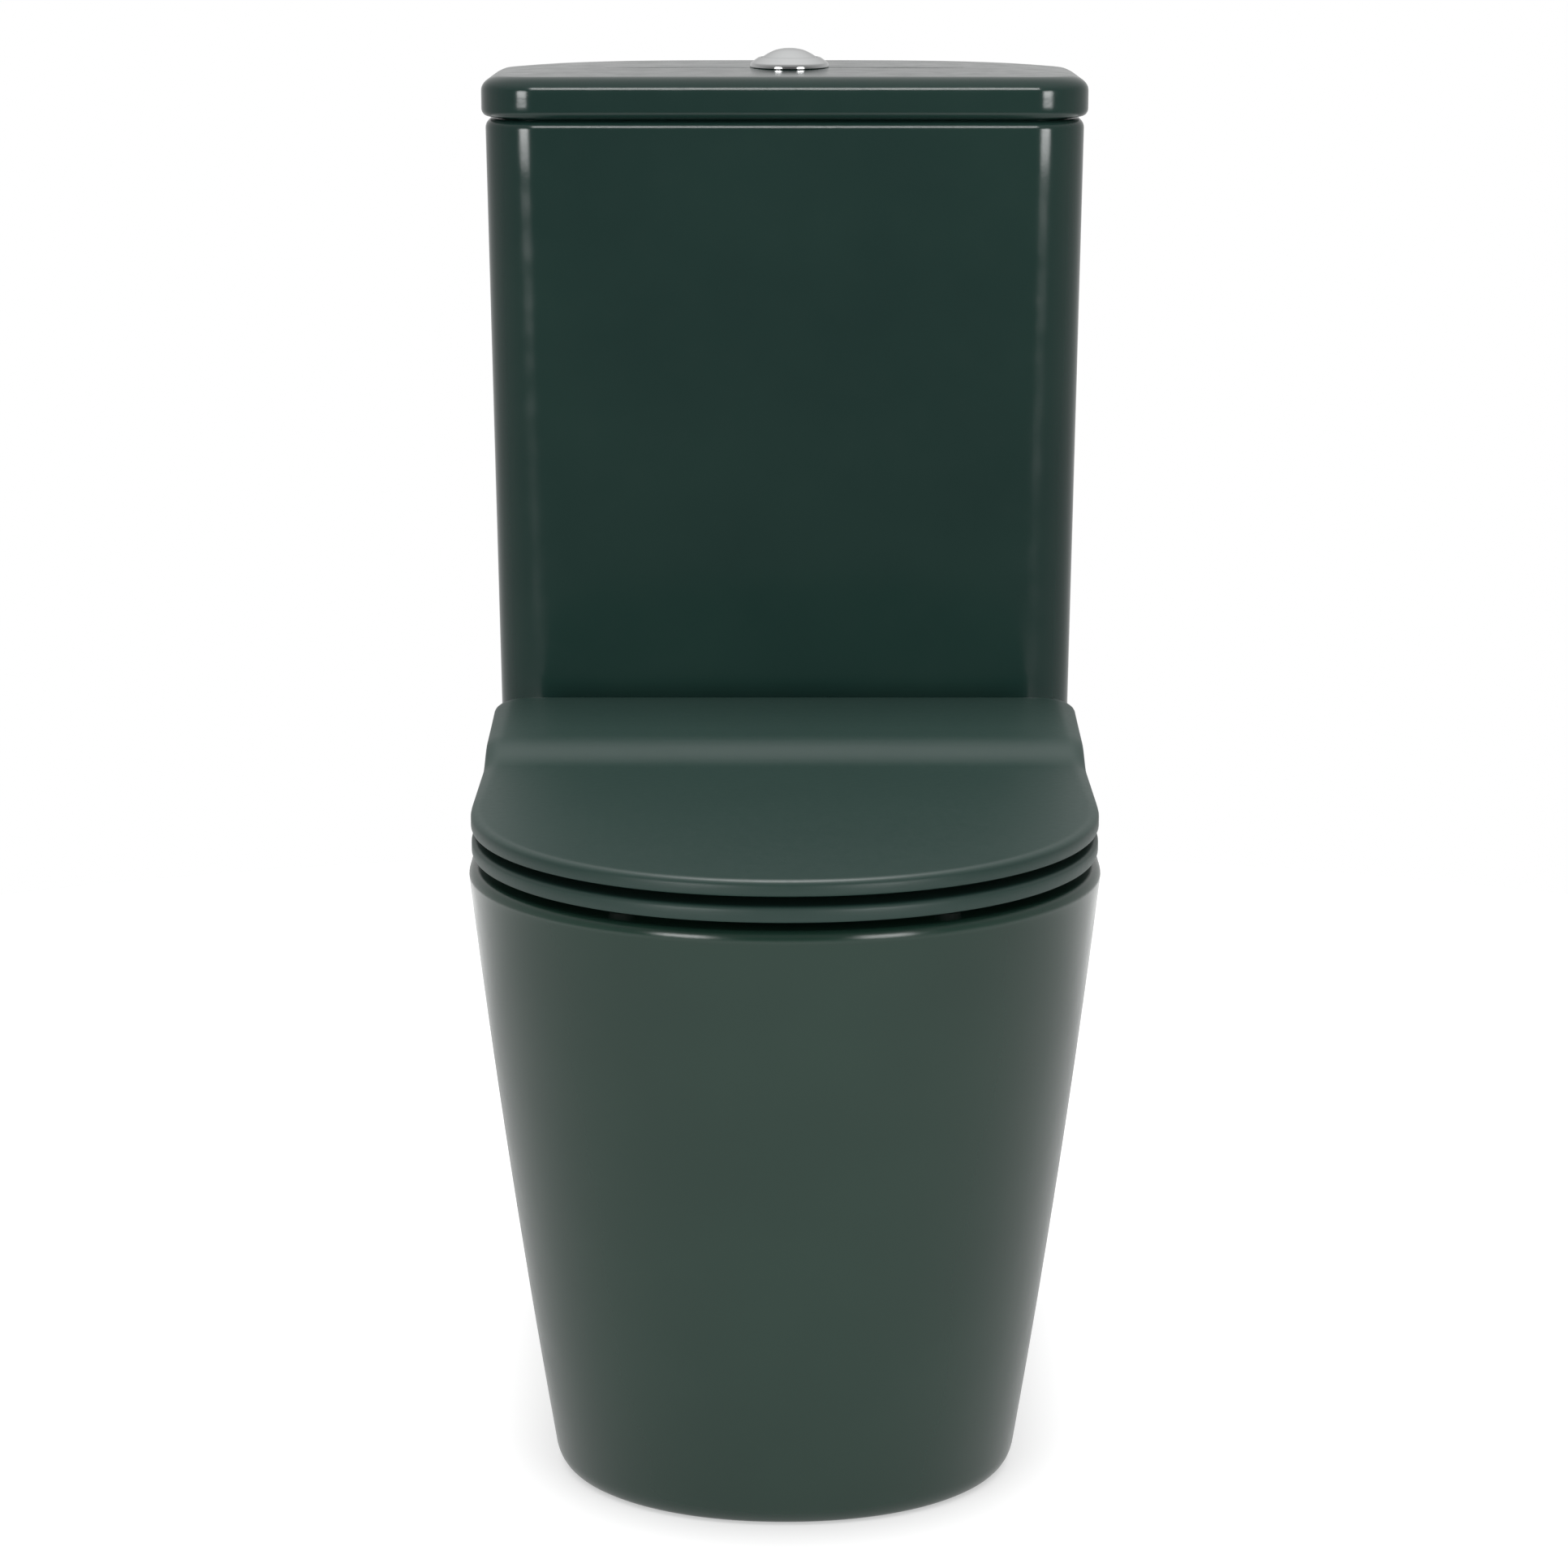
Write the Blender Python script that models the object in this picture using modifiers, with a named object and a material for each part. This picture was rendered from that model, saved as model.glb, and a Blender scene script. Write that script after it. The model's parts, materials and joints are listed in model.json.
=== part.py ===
"""A close coupled toilet: shrouded back-to-wall pan, cistern on the pan's deck, dual flush button,
slim seat ring and seat lid on a pair of pinned hinges.

Units are metres. +X runs to the right of someone facing the toilet, +Y to the wall behind it, +Z up.
The origin is on the floor, under the middle of the whole object.
"""
import math

import bmesh
import bpy
from mathutils import Matrix, Vector

NAME = "close_coupled_toilet"

# ---------------------------------------------------------------- driving dimensions
TOUCH = 0.0003              # gap kept between pieces that rest on each other

WALL_Y = 0.310              # wall face behind the pan
RIM_Z = 0.3973              # top of the pan's rim and deck
RIM_HALF = 0.1862           # pan half-width the side profile starts from at the rim
SIDE_TAPER = (0.036, 0.0100)        # pan half-width lost towards the floor: linear and bulging share
RIM_NOSE_Y = -0.3015        # front of the rim
NOSE_TAPER = (0.100, 0.0305)        # how far the front draws back towards the floor
RIM_WIDEST_Y = -0.1195      # where the rounded front meets the straight sides, at the rim
FOOT_WIDEST_Y = -0.040      # and at the floor
PAN_BACK_CORNER = 0.004     # rounding of the side walls' upright rear edges
SHELL = 0.011               # vitreous china wall
FOOT_SHELL = 0.016          # thicker wall at the foot
DECK_UNDER_Z = 0.380        # underside of rim and deck

SEAT_HALF = 0.184           # seat lid and ring half-width
SEAT_NOSE_Y = -0.310        # front of the seat lid
SEAT_ROUND = 0.190          # length of the rounded front of lid and ring
LID_BACK_Y = 0.121          # back edge of the seat lid
LID_UNDER_Z = 0.4192        # lower edge of the seat lid
LID_FRONT_Z = 0.4285        # top of the seat lid at the nose
LID_RISE = 0.0199           # how much higher the lid's back is than its nose
LID_STEP = 0.0085           # the part of it in a soft step in front of the hinges
LID_STEP_Y, LID_STEP_RUN = -0.016, 0.039
LID_SKIN = 0.0042           # lid thickness over its hollow underside
RING_TOP_Z = 0.4136
RING_UNDER_Z = 0.4043
RING_BACK_Y = 0.0755
RING_HOLE = (0.107, 0.140, -0.105)  # half-width, half-length, centre y of the seat opening

CISTERN_UNDER_Z = 0.4013
CISTERN_TOP_Z = 0.8085
CISTERN_HALF = (0.1843, 0.1902)     # half-width at the bottom and at the top
CISTERN_FRONT_Y = (0.1552, 0.1495)
CISTERN_BACK_Y = 0.3085
CISTERN_WALL = 0.010
CISTERN_FLOOR_Z = 0.423
CISTERN_CORNER = 0.040      # rounding of the front corners outside
CISTERN_INNER_CORNER = 0.024

COVER_HALF = 0.1925         # cistern lid
COVER_FRONT_Y = 0.1457
COVER_BACK_Y = 0.3094
COVER_UNDER_Z = 0.8100
COVER_TOP_Z = 0.8357
COVER_CROWN = 0.0013
COVER_RISE = 0.0026         # how much higher the middle of its back edge is than its front edge
COVER_FALL = 0.0059         # and how much the back edge falls from there to its ends
COVER_CORNER = 0.037

HINGE_X = 0.0775            # seat hinge posts, 155 mm apart
HINGE_Y = 0.098
HINGE_Z = 0.4275
PIN_R = 0.0040
BORE_R = 0.0043

FLUSH_Y = 0.233             # flush valve, coupling bolts and button line
BOLT_X = 0.0775             # coupling bolts
FILL_X = -0.135             # fill valve
FILL_Y = 0.235
BUTTON_X = 0.003            # the button sits a little off centre in its clearance hole
BUTTON_R = 0.0178
BEZEL_R = 0.0255
BEZEL_BORE_R = 0.0183
ROD_OFFSET = (0.005, 0.0125)        # rods from the flush valve's axis
ROCKER_X = -0.006           # rocker pivots, from the flush valve's axis
ROCKER_Z = 0.668

OUTLET_Z = 0.180            # centre of the horizontal soil outlet
OUTLET_R = 0.051
SIDE_FIX_Y = 0.215          # side screws that hold the pan to its floor brackets
SIDE_FIX_Z = 0.045

NOSE_STEPS = 20
OVAL_STEPS = 32
TURN_STEPS = 16

# ---------------------------------------------------------------- scene set-up
for old in list(bpy.data.objects):
    bpy.data.objects.remove(old, do_unlink=True)


def new_collection(name):
    collection = bpy.data.collections.new(name)
    bpy.context.scene.collection.children.link(collection)
    return collection


PARTS = new_collection(NAME)
CUTTERS = new_collection("cutters")


def new_material(name, colour, roughness, metallic=0.0):
    material = bpy.data.materials.new(name)
    material.use_nodes = True
    shader = material.node_tree.nodes["Principled BSDF"]
    shader.inputs["Base Color"].default_value = (*colour, 1.0)
    shader.inputs["Roughness"].default_value = roughness
    shader.inputs["Metallic"].default_value = metallic
    return material


CHINA = new_material("green_china", (0.022, 0.046, 0.037), 0.22)
SEAT = new_material("green_duroplast", (0.032, 0.062, 0.050), 0.35)
CHROME = new_material("chrome", (0.80, 0.81, 0.82), 0.08, 1.0)
STEEL = new_material("steel", (0.62, 0.62, 0.60), 0.35, 1.0)
BRASS = new_material("brass", (0.72, 0.55, 0.25), 0.35, 1.0)
RUBBER = new_material("rubber", (0.03, 0.03, 0.03), 0.80)
WHITE = new_material("white_plastic", (0.80, 0.80, 0.78), 0.40)
BLUE = new_material("blue_plastic", (0.10, 0.25, 0.55), 0.40)


# ---------------------------------------------------------------- outlines and meshes
def arc(cx, cy, radius, start, end, steps):
    """Points on an arc from start to end, in degrees."""
    angles = [math.radians(start + (end - start) * i / steps) for i in range(steps + 1)]
    return [(cx + radius * math.cos(a), cy + radius * math.sin(a)) for a in angles]


def d_outline(half, nose_y, widest_y, back_y, corner, power=2.08):
    """A rounded front, straight sides and a square back, from the middle of the back, anticlockwise.
    Every outline has the same points in the same order, so that they loft cleanly."""
    def side(x, start_y, end_y):
        return [(x, start_y + (end_y - start_y) * i / 3) for i in (1, 2)]

    nose = []
    for i in range(NOSE_STEPS + 1):
        angle = math.pi * i / NOSE_STEPS
        c, s = math.cos(angle), math.sin(angle)
        x = -half * math.copysign(abs(c) ** (2 / power), c)
        nose.append((x, widest_y - (widest_y - nose_y) * s ** (2 / power)))
    turn_y = back_y - corner
    return ([(0.0, back_y)] + arc(-half + corner, turn_y, corner, 90, 180, 3) + side(-half, turn_y, widest_y)
            + nose + side(half, widest_y, turn_y) + arc(half - corner, turn_y, corner, 0, 90, 3))


def oval_point(half_width, half_length, centre_y, angle, power=2.1):
    """The point of an oval in one direction from its centre, measured from +Y, anticlockwise."""
    s, c = math.sin(angle), math.cos(angle)
    radius = (abs(s / half_width) ** power + abs(c / half_length) ** power) ** (-1 / power)
    return (-radius * s, centre_y + radius * c)


def oval(half_width, half_length, centre_y):
    return [oval_point(half_width, half_length, centre_y, 2 * math.pi * i / OVAL_STEPS)
            for i in range(OVAL_STEPS)]


def rounded_box_outline(half, front_y, back_y, front_corner, back_corner, steps=6, spans=1):
    """A rectangle with different front and back corner radii, anticlockwise. Spans divide the long edges."""
    def between(start_x, end_x, y):
        return [(start_x + (end_x - start_x) * i / spans, y) for i in range(1, spans)]

    front_x, back_x = half - front_corner, half - back_corner
    return (arc(-back_x, back_y - back_corner, back_corner, 90, 180, steps // 2)
            + arc(-front_x, front_y + front_corner, front_corner, 180, 270, steps)
            + between(-front_x, front_x, front_y)
            + arc(front_x, front_y + front_corner, front_corner, 270, 360, steps)
            + arc(back_x, back_y - back_corner, back_corner, 0, 90, steps // 2)
            + between(back_x, -back_x, back_y))


def lift(outline, z):
    return [(x, y, z) for x, y in outline]


def loft(name, rings, closed_ring=False):
    """A closed skin through rings of equal count, each anticlockwise, from the lowest to the highest.
    closed_ring joins the last ring to the first instead of capping both."""
    mesh = bpy.data.meshes.new(name)
    bm = bmesh.new()
    rows = [[bm.verts.new(p) for p in ring] for ring in rings]
    count = len(rows[0])
    pairs = list(zip(rows, rows[1:]))
    if closed_ring:
        pairs.append((rows[-1], rows[0]))
    for low, high in pairs:
        for i in range(count):
            j = (i + 1) % count
            bm.faces.new((low[i], low[j], high[j], high[i]))
    if not closed_ring:
        bm.faces.new(list(reversed(rows[0])))
        bm.faces.new(rows[-1])
    bmesh.ops.triangulate(bm, faces=bm.faces)
    bmesh.ops.recalc_face_normals(bm, faces=bm.faces)
    bm.to_mesh(mesh)
    bm.free()
    return mesh


def add(name, mesh, material=None, smooth=35):
    """A part when it has a material, else a guide for a Boolean."""
    obj = bpy.data.objects.new(name, mesh)
    if material is None:
        CUTTERS.objects.link(obj)
        obj.hide_render = True
        obj.display_type = "WIRE"
        return obj
    PARTS.objects.link(obj)
    mesh.materials.append(material)
    mesh.shade_smooth()
    mesh.set_sharp_from_angle(angle=math.radians(smooth))
    return obj


def boolean(obj, tool, operation):
    modifier = obj.modifiers.new(operation.lower() + "_" + tool.name, "BOOLEAN")
    modifier.operation = operation
    modifier.solver = "EXACT"
    modifier.object = tool


def cut(obj, *tools):
    for tool in tools:
        boolean(obj, tool, "DIFFERENCE")


def join(obj, *tools):
    for tool in tools:
        boolean(obj, tool, "UNION")


def box_mesh(name, low, high):
    mesh = bpy.data.meshes.new(name)
    bm = bmesh.new()
    bmesh.ops.create_cube(bm, size=1.0)
    size = Vector(high) - Vector(low)
    bmesh.ops.scale(bm, vec=size, verts=bm.verts)
    bmesh.ops.translate(bm, vec=(Vector(high) + Vector(low)) / 2, verts=bm.verts)
    bm.to_mesh(mesh)
    bm.free()
    return mesh


def cylinder_mesh(name, start, end, radius, steps=TURN_STEPS, end_radius=None):
    """A cylinder or cone between two points."""
    start, end = Vector(start), Vector(end)
    axis = end - start
    turn = Vector((0, 0, 1)).rotation_difference(axis.normalized()).to_matrix().to_4x4()
    place = Matrix.Translation((start + end) / 2) @ turn
    mesh = bpy.data.meshes.new(name)
    bm = bmesh.new()
    bmesh.ops.create_cone(bm, cap_ends=True, cap_tris=False, segments=steps, radius1=radius,
                          radius2=radius if end_radius is None else end_radius,
                          depth=axis.length, matrix=place)
    bm.to_mesh(mesh)
    bm.free()
    return mesh


def prism_mesh(name, side_view, x_low, x_high):
    """A flat (y, z) outline pulled along X."""
    mesh = bpy.data.meshes.new(name)
    bm = bmesh.new()
    face = bm.faces.new([bm.verts.new((x_low, y, z)) for y, z in side_view])
    pulled = bmesh.ops.extrude_face_region(bm, geom=[face])
    moved = [v for v in pulled["geom"] if isinstance(v, bmesh.types.BMVert)]
    bmesh.ops.translate(bm, vec=(x_high - x_low, 0, 0), verts=moved)
    bmesh.ops.recalc_face_normals(bm, faces=bm.faces)
    bm.to_mesh(mesh)
    bm.free()
    return mesh


def turned(name, profile, centre, material=None, steps=TURN_STEPS, bore=True):
    """A turned piece: (radius, z) points down the outer side, and up the bore when it has one."""
    mesh = bpy.data.meshes.new(name)
    bm = bmesh.new()
    verts = [bm.verts.new((radius, 0.0, z)) for radius, z in profile]
    for a, b in zip(verts, verts[1:]):
        bm.edges.new((a, b))
    if bore:
        bm.edges.new((verts[-1], verts[0]))
    bm.to_mesh(mesh)
    bm.free()
    obj = add(name, mesh, material)
    obj.location = (centre[0], centre[1], 0.0)
    screw = obj.modifiers.new("turn", "SCREW")
    screw.axis = "Z"
    screw.steps = steps
    screw.render_steps = steps
    screw.use_merge_vertices = True
    screw.merge_threshold = 0.00001
    screw.use_smooth_shade = True
    return obj


def ring_profile(inner, outer, low, high):
    return [(outer, high), (outer, low), (inner, low), (inner, high)]


def smooth_path(points, per_span):
    """Points on a Catmull-Rom curve through a route's own points."""
    route = [Vector(p) for p in points]
    route = [2 * route[0] - route[1]] + route + [2 * route[-1] - route[-2]]
    result = []
    for i in range(1, len(route) - 2):
        a, b, c, d = route[i - 1:i + 3]
        for k in range(per_span):
            t = k / per_span
            result.append(0.5 * (2 * b + (c - a) * t + (2 * a - 5 * b + 4 * c - d) * t * t
                                 + (3 * b - a - 3 * c + d) * t ** 3))
    return result + [route[-2]]


def tube_mesh(name, points, radius, resolution):
    """A round tube with welded caps along a polyline."""
    curve = bpy.data.curves.new(name, "CURVE")
    curve.dimensions = "3D"
    curve.bevel_depth = radius
    curve.bevel_resolution = resolution
    curve.use_fill_caps = True
    spline = curve.splines.new("POLY")
    spline.points.add(len(points) - 1)
    for slot, point in zip(spline.points, points):
        slot.co = (*point, 1.0)
    holder = bpy.data.objects.new(name + "_route", curve)
    CUTTERS.objects.link(holder)
    bpy.context.view_layer.update()
    shaped = holder.evaluated_get(bpy.context.evaluated_depsgraph_get())
    mesh = bpy.data.meshes.new_from_object(shaped)
    bm = bmesh.new()
    bm.from_mesh(mesh)
    bmesh.ops.remove_doubles(bm, verts=bm.verts, dist=0.00001)
    bmesh.ops.recalc_face_normals(bm, faces=bm.faces)
    bm.to_mesh(mesh)
    bm.free()
    bpy.data.objects.remove(holder, do_unlink=True)
    return mesh


def pivot(name, place, *children):
    """An empty on a joint's axis that carries the pieces moving with it."""
    empty = bpy.data.objects.new(name, None)
    empty.empty_display_size = 0.02
    empty.location = place
    PARTS.objects.link(empty)
    for child in children:
        child.parent = empty
        child.matrix_parent_inverse = Matrix.Translation(place).inverted()
    return empty


# ---------------------------------------------------------------- pan
def pan_half(z):
    t = 1.0 - z / RIM_Z
    return RIM_HALF - SIDE_TAPER[0] * t - SIDE_TAPER[1] * t * t


def pan_nose(z):
    t = 1.0 - z / RIM_Z
    return RIM_NOSE_Y + NOSE_TAPER[0] * t + NOSE_TAPER[1] * t * t


def pan_section(z, inset, back_y, corner):
    """The pan's outline at a height, drawn in by inset."""
    widest = FOOT_WIDEST_Y + (RIM_WIDEST_Y - FOOT_WIDEST_Y) * z / RIM_Z
    return lift(d_outline(pan_half(z) - inset, pan_nose(z) + inset, widest, back_y, corner), z)


def make_pan():
    edge = [(0.0, 0.0065), (0.0025, 0.0035), (0.010, 0.0006)]           # height, rounding of the foot
    body = [(z, 0.0) for z in (0.06, 0.16, 0.27, 0.370)]
    rim = [(0.3911, 0.0), (0.3935, 0.0008), (0.3958, 0.0025), (RIM_Z, 0.0052)]
    pan = add("pan", loft("pan", [pan_section(z, inset, WALL_Y, PAN_BACK_CORNER)
                                  for z, inset in edge + body + rim]), CHINA)

    levels = (0.0, 0.12, 0.25, DECK_UNDER_Z)
    rings = []
    for z in levels:
        thickness = SHELL + (FOOT_SHELL - SHELL) * (1.0 - z / DECK_UNDER_Z)
        rings.append(pan_section(z, thickness, WALL_Y + 0.03, PAN_BACK_CORNER))
    rings.insert(0, [(x, y, -0.01) for x, y, z in rings[0]])
    cut(pan, add("skirt_hollow", loft("skirt_hollow", rings)))

    # bowl: half-width, half-length and centre at each level, from the sump to above the rim
    bowl = [(0.112, 0.034, 0.040, -0.055), (0.135, 0.044, 0.052, -0.056), (0.180, 0.058, 0.070, -0.064),
            (0.235, 0.085, 0.100, -0.082), (0.300, 0.118, 0.132, -0.100), (0.385, 0.139, 0.153, -0.108),
            (0.420, 0.140, 0.154, -0.108)]
    skin = SHELL
    outer = [lift(oval(a + skin, b + skin, c), z) for z, a, b, c in bowl[:-2]]
    outer.insert(0, lift(oval(0.030, 0.036, -0.055), 0.102))
    outer.append(lift(oval(0.139 + skin, 0.153 + skin, -0.108), 0.388))
    inner = [lift(oval(a, b, c), z) for z, a, b, c in bowl]
    bowl_outside = add("bowl_outside", loft("bowl_outside", outer))
    bowl_inside = add("bowl_inside", loft("bowl_inside", inner))

    # trapway: down under the water seal, up over the weir and back down to the outlet
    route = smooth_path([(0, -0.060, 0.160), (0, -0.018, 0.135), (0, 0.028, 0.142), (0, 0.066, 0.186),
                         (0, 0.100, 0.230), (0, 0.141, 0.238), (0, 0.178, 0.207), (0, 0.228, 0.180)], 2)
    trap_outside = add("trap_outside", tube_mesh("trap_outside", route, 0.038, 2))
    trap_inside = add("trap_inside", tube_mesh("trap_inside", route, 0.0275, 2))
    spigot = add("spigot", cylinder_mesh("spigot", (0, 0.206, OUTLET_Z), (0, 0.285, OUTLET_Z),
                                         OUTLET_R, 24))
    spigot_bore = add("spigot_bore", cylinder_mesh("spigot_bore", (0, 0.222, OUTLET_Z),
                                                   (0, 0.300, OUTLET_Z), 0.042, 24))

    # water chamber under the deck, and the slot it feeds at the back of the bowl
    chamber = add("chamber", box_mesh("chamber", (-0.048, 0.020, 0.312), (0.048, 0.280, 0.386)))
    chamber_hollow = add("chamber_hollow", box_mesh("chamber_hollow", (-0.039, 0.080, 0.321),
                                                    (0.039, 0.271, 0.377)))
    slot = add("slot", box_mesh("slot", (-0.033, -0.010, 0.338), (0.033, 0.083, 0.362)))
    inlet = add("inlet", cylinder_mesh("inlet", (0, FLUSH_Y, 0.370), (0, FLUSH_Y, 0.410), 0.035, 24))

    join(pan, bowl_outside, trap_outside, spigot, chamber)
    cut(pan, bowl_inside, trap_inside, spigot_bore, chamber_hollow, slot, inlet)

    for side, label in ((-1, "left"), (1, "right")):
        for name, x, y, radius in (("hinge_hole", HINGE_X, HINGE_Y, 0.0075),
                                   ("bolt_hole", BOLT_X, FLUSH_Y, 0.0060)):
            tool = cylinder_mesh(name, (side * x, y, 0.372), (side * x, y, 0.405), radius, 12)
            cut(pan, add(name + "_" + label, tool))
        start, end = side_fix_axis(side, -0.030), side_fix_axis(side, 0.015)
        cut(pan, add("side_hole_" + label, cylinder_mesh("side_hole", start, end, 0.0040, 12)))
    cut(pan, add("fill_access", cylinder_mesh("fill_access", (FILL_X, FILL_Y, 0.370),
                                              (FILL_X, FILL_Y, 0.405), 0.022, 16)))
    return pan


def side_fix_axis(side, out):
    """A point on a side screw's axis, out metres outside the pan's surface, square to it."""
    t = 1.0 - SIDE_FIX_Z / RIM_Z
    lean = math.atan((SIDE_TAPER[0] + 2 * SIDE_TAPER[1] * t) / RIM_Z)
    x = pan_half(SIDE_FIX_Z) + out * math.cos(lean)
    return Vector((side * x, SIDE_FIX_Y, SIDE_FIX_Z - out * math.sin(lean)))


def make_floor_fixings():
    for side, label in ((-1, "left"), (1, "right")):
        low, high = sorted((side * 0.086, side * 0.1205))
        bracket = add("floor_bracket_" + label, box_mesh("floor_bracket", (low, 0.192, 0.0),
                                                         (high, 0.238, 0.0040)), STEEL)
        low, high = sorted((side * 0.1165, side * 0.1205))
        upright = add("bracket_upright_" + label, box_mesh("bracket_upright", (low, 0.200, 0.002),
                                                           (high, 0.230, 0.066)))
        join(bracket, upright)
        floor_hole = cylinder_mesh("floor_hole", (side * 0.100, SIDE_FIX_Y, -0.01),
                                   (side * 0.100, SIDE_FIX_Y, 0.01), 0.0035, 16)
        cut(bracket, add("floor_hole_" + label, floor_hole))
        screw_hole = cylinder_mesh("screw_hole", side_fix_axis(side, -0.040), side_fix_axis(side, -0.010),
                                   0.0031, 16)
        cut(bracket, add("screw_hole_" + label, screw_hole))
        screw = add("side_screw_" + label, cylinder_mesh("side_screw", side_fix_axis(side, -0.036),
                                                         side_fix_axis(side, 0.0015), 0.0027, 12), STEEL)
        head = cylinder_mesh("screw_head", side_fix_axis(side, 0.0004), side_fix_axis(side, 0.0030),
                             0.0060, 16)
        join(screw, add("screw_head_" + label, head))
        dish = cylinder_mesh("side_cap", side_fix_axis(side, 0.0004), side_fix_axis(side, 0.0050),
                             0.0085, 20, 0.0074)
        cap = add("side_cap_" + label, dish, CHROME)
        hollow = cylinder_mesh("cap_hollow", side_fix_axis(side, -0.001), side_fix_axis(side, 0.0034),
                               0.0066, 16)
        cut(cap, add("cap_hollow_" + label, hollow))


# ---------------------------------------------------------------- cistern
def cistern_section(z, inset, wall=0.0):
    t = (z - CISTERN_UNDER_Z) / (CISTERN_TOP_Z - CISTERN_UNDER_Z)
    half = CISTERN_HALF[0] + (CISTERN_HALF[1] - CISTERN_HALF[0]) * t - inset - wall
    front = CISTERN_FRONT_Y[0] + (CISTERN_FRONT_Y[1] - CISTERN_FRONT_Y[0]) * t + inset + wall
    back = CISTERN_BACK_Y - min(inset, 0.004) - wall
    corner = (CISTERN_INNER_CORNER if wall else CISTERN_CORNER) - inset
    return lift(rounded_box_outline(half, front, back, corner, max(0.014 - wall, 0.006)), z)


def make_cistern():
    skin = [(CISTERN_UNDER_Z, 0.0070), (0.4033, 0.0035), (0.4085, 0.0008), (0.4150, 0.0), (0.60, 0.0),
            (0.8045, 0.0), (0.8075, 0.0015), (CISTERN_TOP_Z, 0.0040)]
    cistern = add("cistern", loft("cistern", [cistern_section(z, inset) for z, inset in skin]), CHINA)
    inside = [cistern_section(CISTERN_FLOOR_Z, 0.008, CISTERN_WALL)]
    inside += [cistern_section(z, 0.0, CISTERN_WALL) for z in (0.434, 0.820)]
    cut(cistern, add("tank_hollow", loft("tank_hollow", inside)))
    cut(cistern, add("gasket_recess", cylinder_mesh("gasket_recess", (0, FLUSH_Y, 0.395),
                                                    (0, FLUSH_Y, 0.4115), 0.058, 24)))
    cut(cistern, add("valve_hole", cylinder_mesh("valve_hole", (0, FLUSH_Y, 0.400),
                                                 (0, FLUSH_Y, 0.430), 0.0325, 20)))
    holes = [("tank_bolt_hole_left", -BOLT_X, FLUSH_Y, 0.006),
             ("tank_bolt_hole_right", BOLT_X, FLUSH_Y, 0.006),
             ("fill_hole", FILL_X, FILL_Y, 0.0120)]
    for name, x, y, radius in holes:
        cut(cistern, add(name, cylinder_mesh(name, (x, y, 0.395), (x, y, 0.430), radius, 16)))
    return cistern


def cover_lift(x, y):
    """How far the cistern lid's top stands above its front edge: it rises to the middle of the back."""
    back = (y - COVER_FRONT_Y) / (COVER_BACK_Y - COVER_FRONT_Y)
    return back * (COVER_RISE - COVER_FALL * abs(x / COVER_HALF) ** 4)


def make_cistern_lid():
    def section(inset, z, lifted=0.0):
        corner = max(COVER_CORNER - inset, 0.004)
        back_corner = max(0.016 - inset, 0.004)
        outline = rounded_box_outline(COVER_HALF - inset, COVER_FRONT_Y + inset, COVER_BACK_Y - inset,
                                      corner, back_corner, spans=6)
        return [(x, y, z + lifted * cover_lift(x, y)) for x, y in outline]

    under, top = COVER_UNDER_Z, COVER_TOP_Z
    # inset from the outline and height: hollow underside, locating lip, edge, then the rounded top
    lower = [(0.0500, 0.8262), (0.0205, 0.8262), (0.0190, 0.8030), (0.0150, 0.8030), (0.0145, under),
             (0.0034, under), (0.0010, under + 0.0016), (0.0, under + 0.0045), (0.0, top - 0.0090)]
    upper = [(0.0008, top - 0.0050, 0.4), (0.0028, top - 0.0018, 0.8), (0.0065, top - 0.0003, 1.0),
             (0.0120, top, 1.0), (0.0400, top + 0.0004, 1.0), (0.0700, top + 0.0004, 1.0)]
    lid = add("cistern_lid", loft("cistern_lid", [section(*ring) for ring in lower + upper]), CHINA)
    centre = (BUTTON_X, FLUSH_Y)
    seat_z = COVER_TOP_Z + COVER_CROWN
    cut(lid, add("button_hole", cylinder_mesh("button_hole", (*centre, 0.81), (*centre, 0.85), 0.0225, 20)),
        add("button_seat", cylinder_mesh("button_seat", (*centre, seat_z), (*centre, 0.85), 0.0262, 20)))
    return lid


def make_couplings():
    turned("coupling_gasket", ring_profile(0.0445, 0.0565, RIM_Z + TOUCH, 0.4115 - TOUCH),
           (0, FLUSH_Y), RUBBER, 20)
    top = CISTERN_FLOOR_Z
    for side, label in ((-1, "left"), (1, "right")):
        place = (side * BOLT_X, FLUSH_Y)
        turned("coupling_washer_" + label, ring_profile(0.0046, 0.0150, top + TOUCH, top + 0.0033),
               place, RUBBER, 12)
        bolt = add("coupling_bolt_" + label, cylinder_mesh("coupling_bolt", (*place, 0.350),
                                                           (*place, 0.4280), 0.0040, 16), BRASS)
        join(bolt, add("bolt_head_" + label, cylinder_mesh("bolt_head", (*place, 0.4266),
                                                           (*place, 0.4325), 0.0080, 6)))
        nut = add("coupling_wingnut_" + label, cylinder_mesh("coupling_wingnut", (*place, 0.3640),
                                                             (*place, DECK_UNDER_Z - TOUCH), 0.0085, 16,
                                                             0.0125), BRASS)
        wings = box_mesh("wings", (place[0] - 0.0015, FLUSH_Y - 0.019, 0.3600),
                         (place[0] + 0.0015, FLUSH_Y + 0.019, 0.3730))
        join(nut, add("wings_" + label, wings))
        cut(nut, add("nut_bore_" + label, cylinder_mesh("nut_bore", (*place, 0.355), (*place, 0.385),
                                                        0.0043, 16)))


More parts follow.
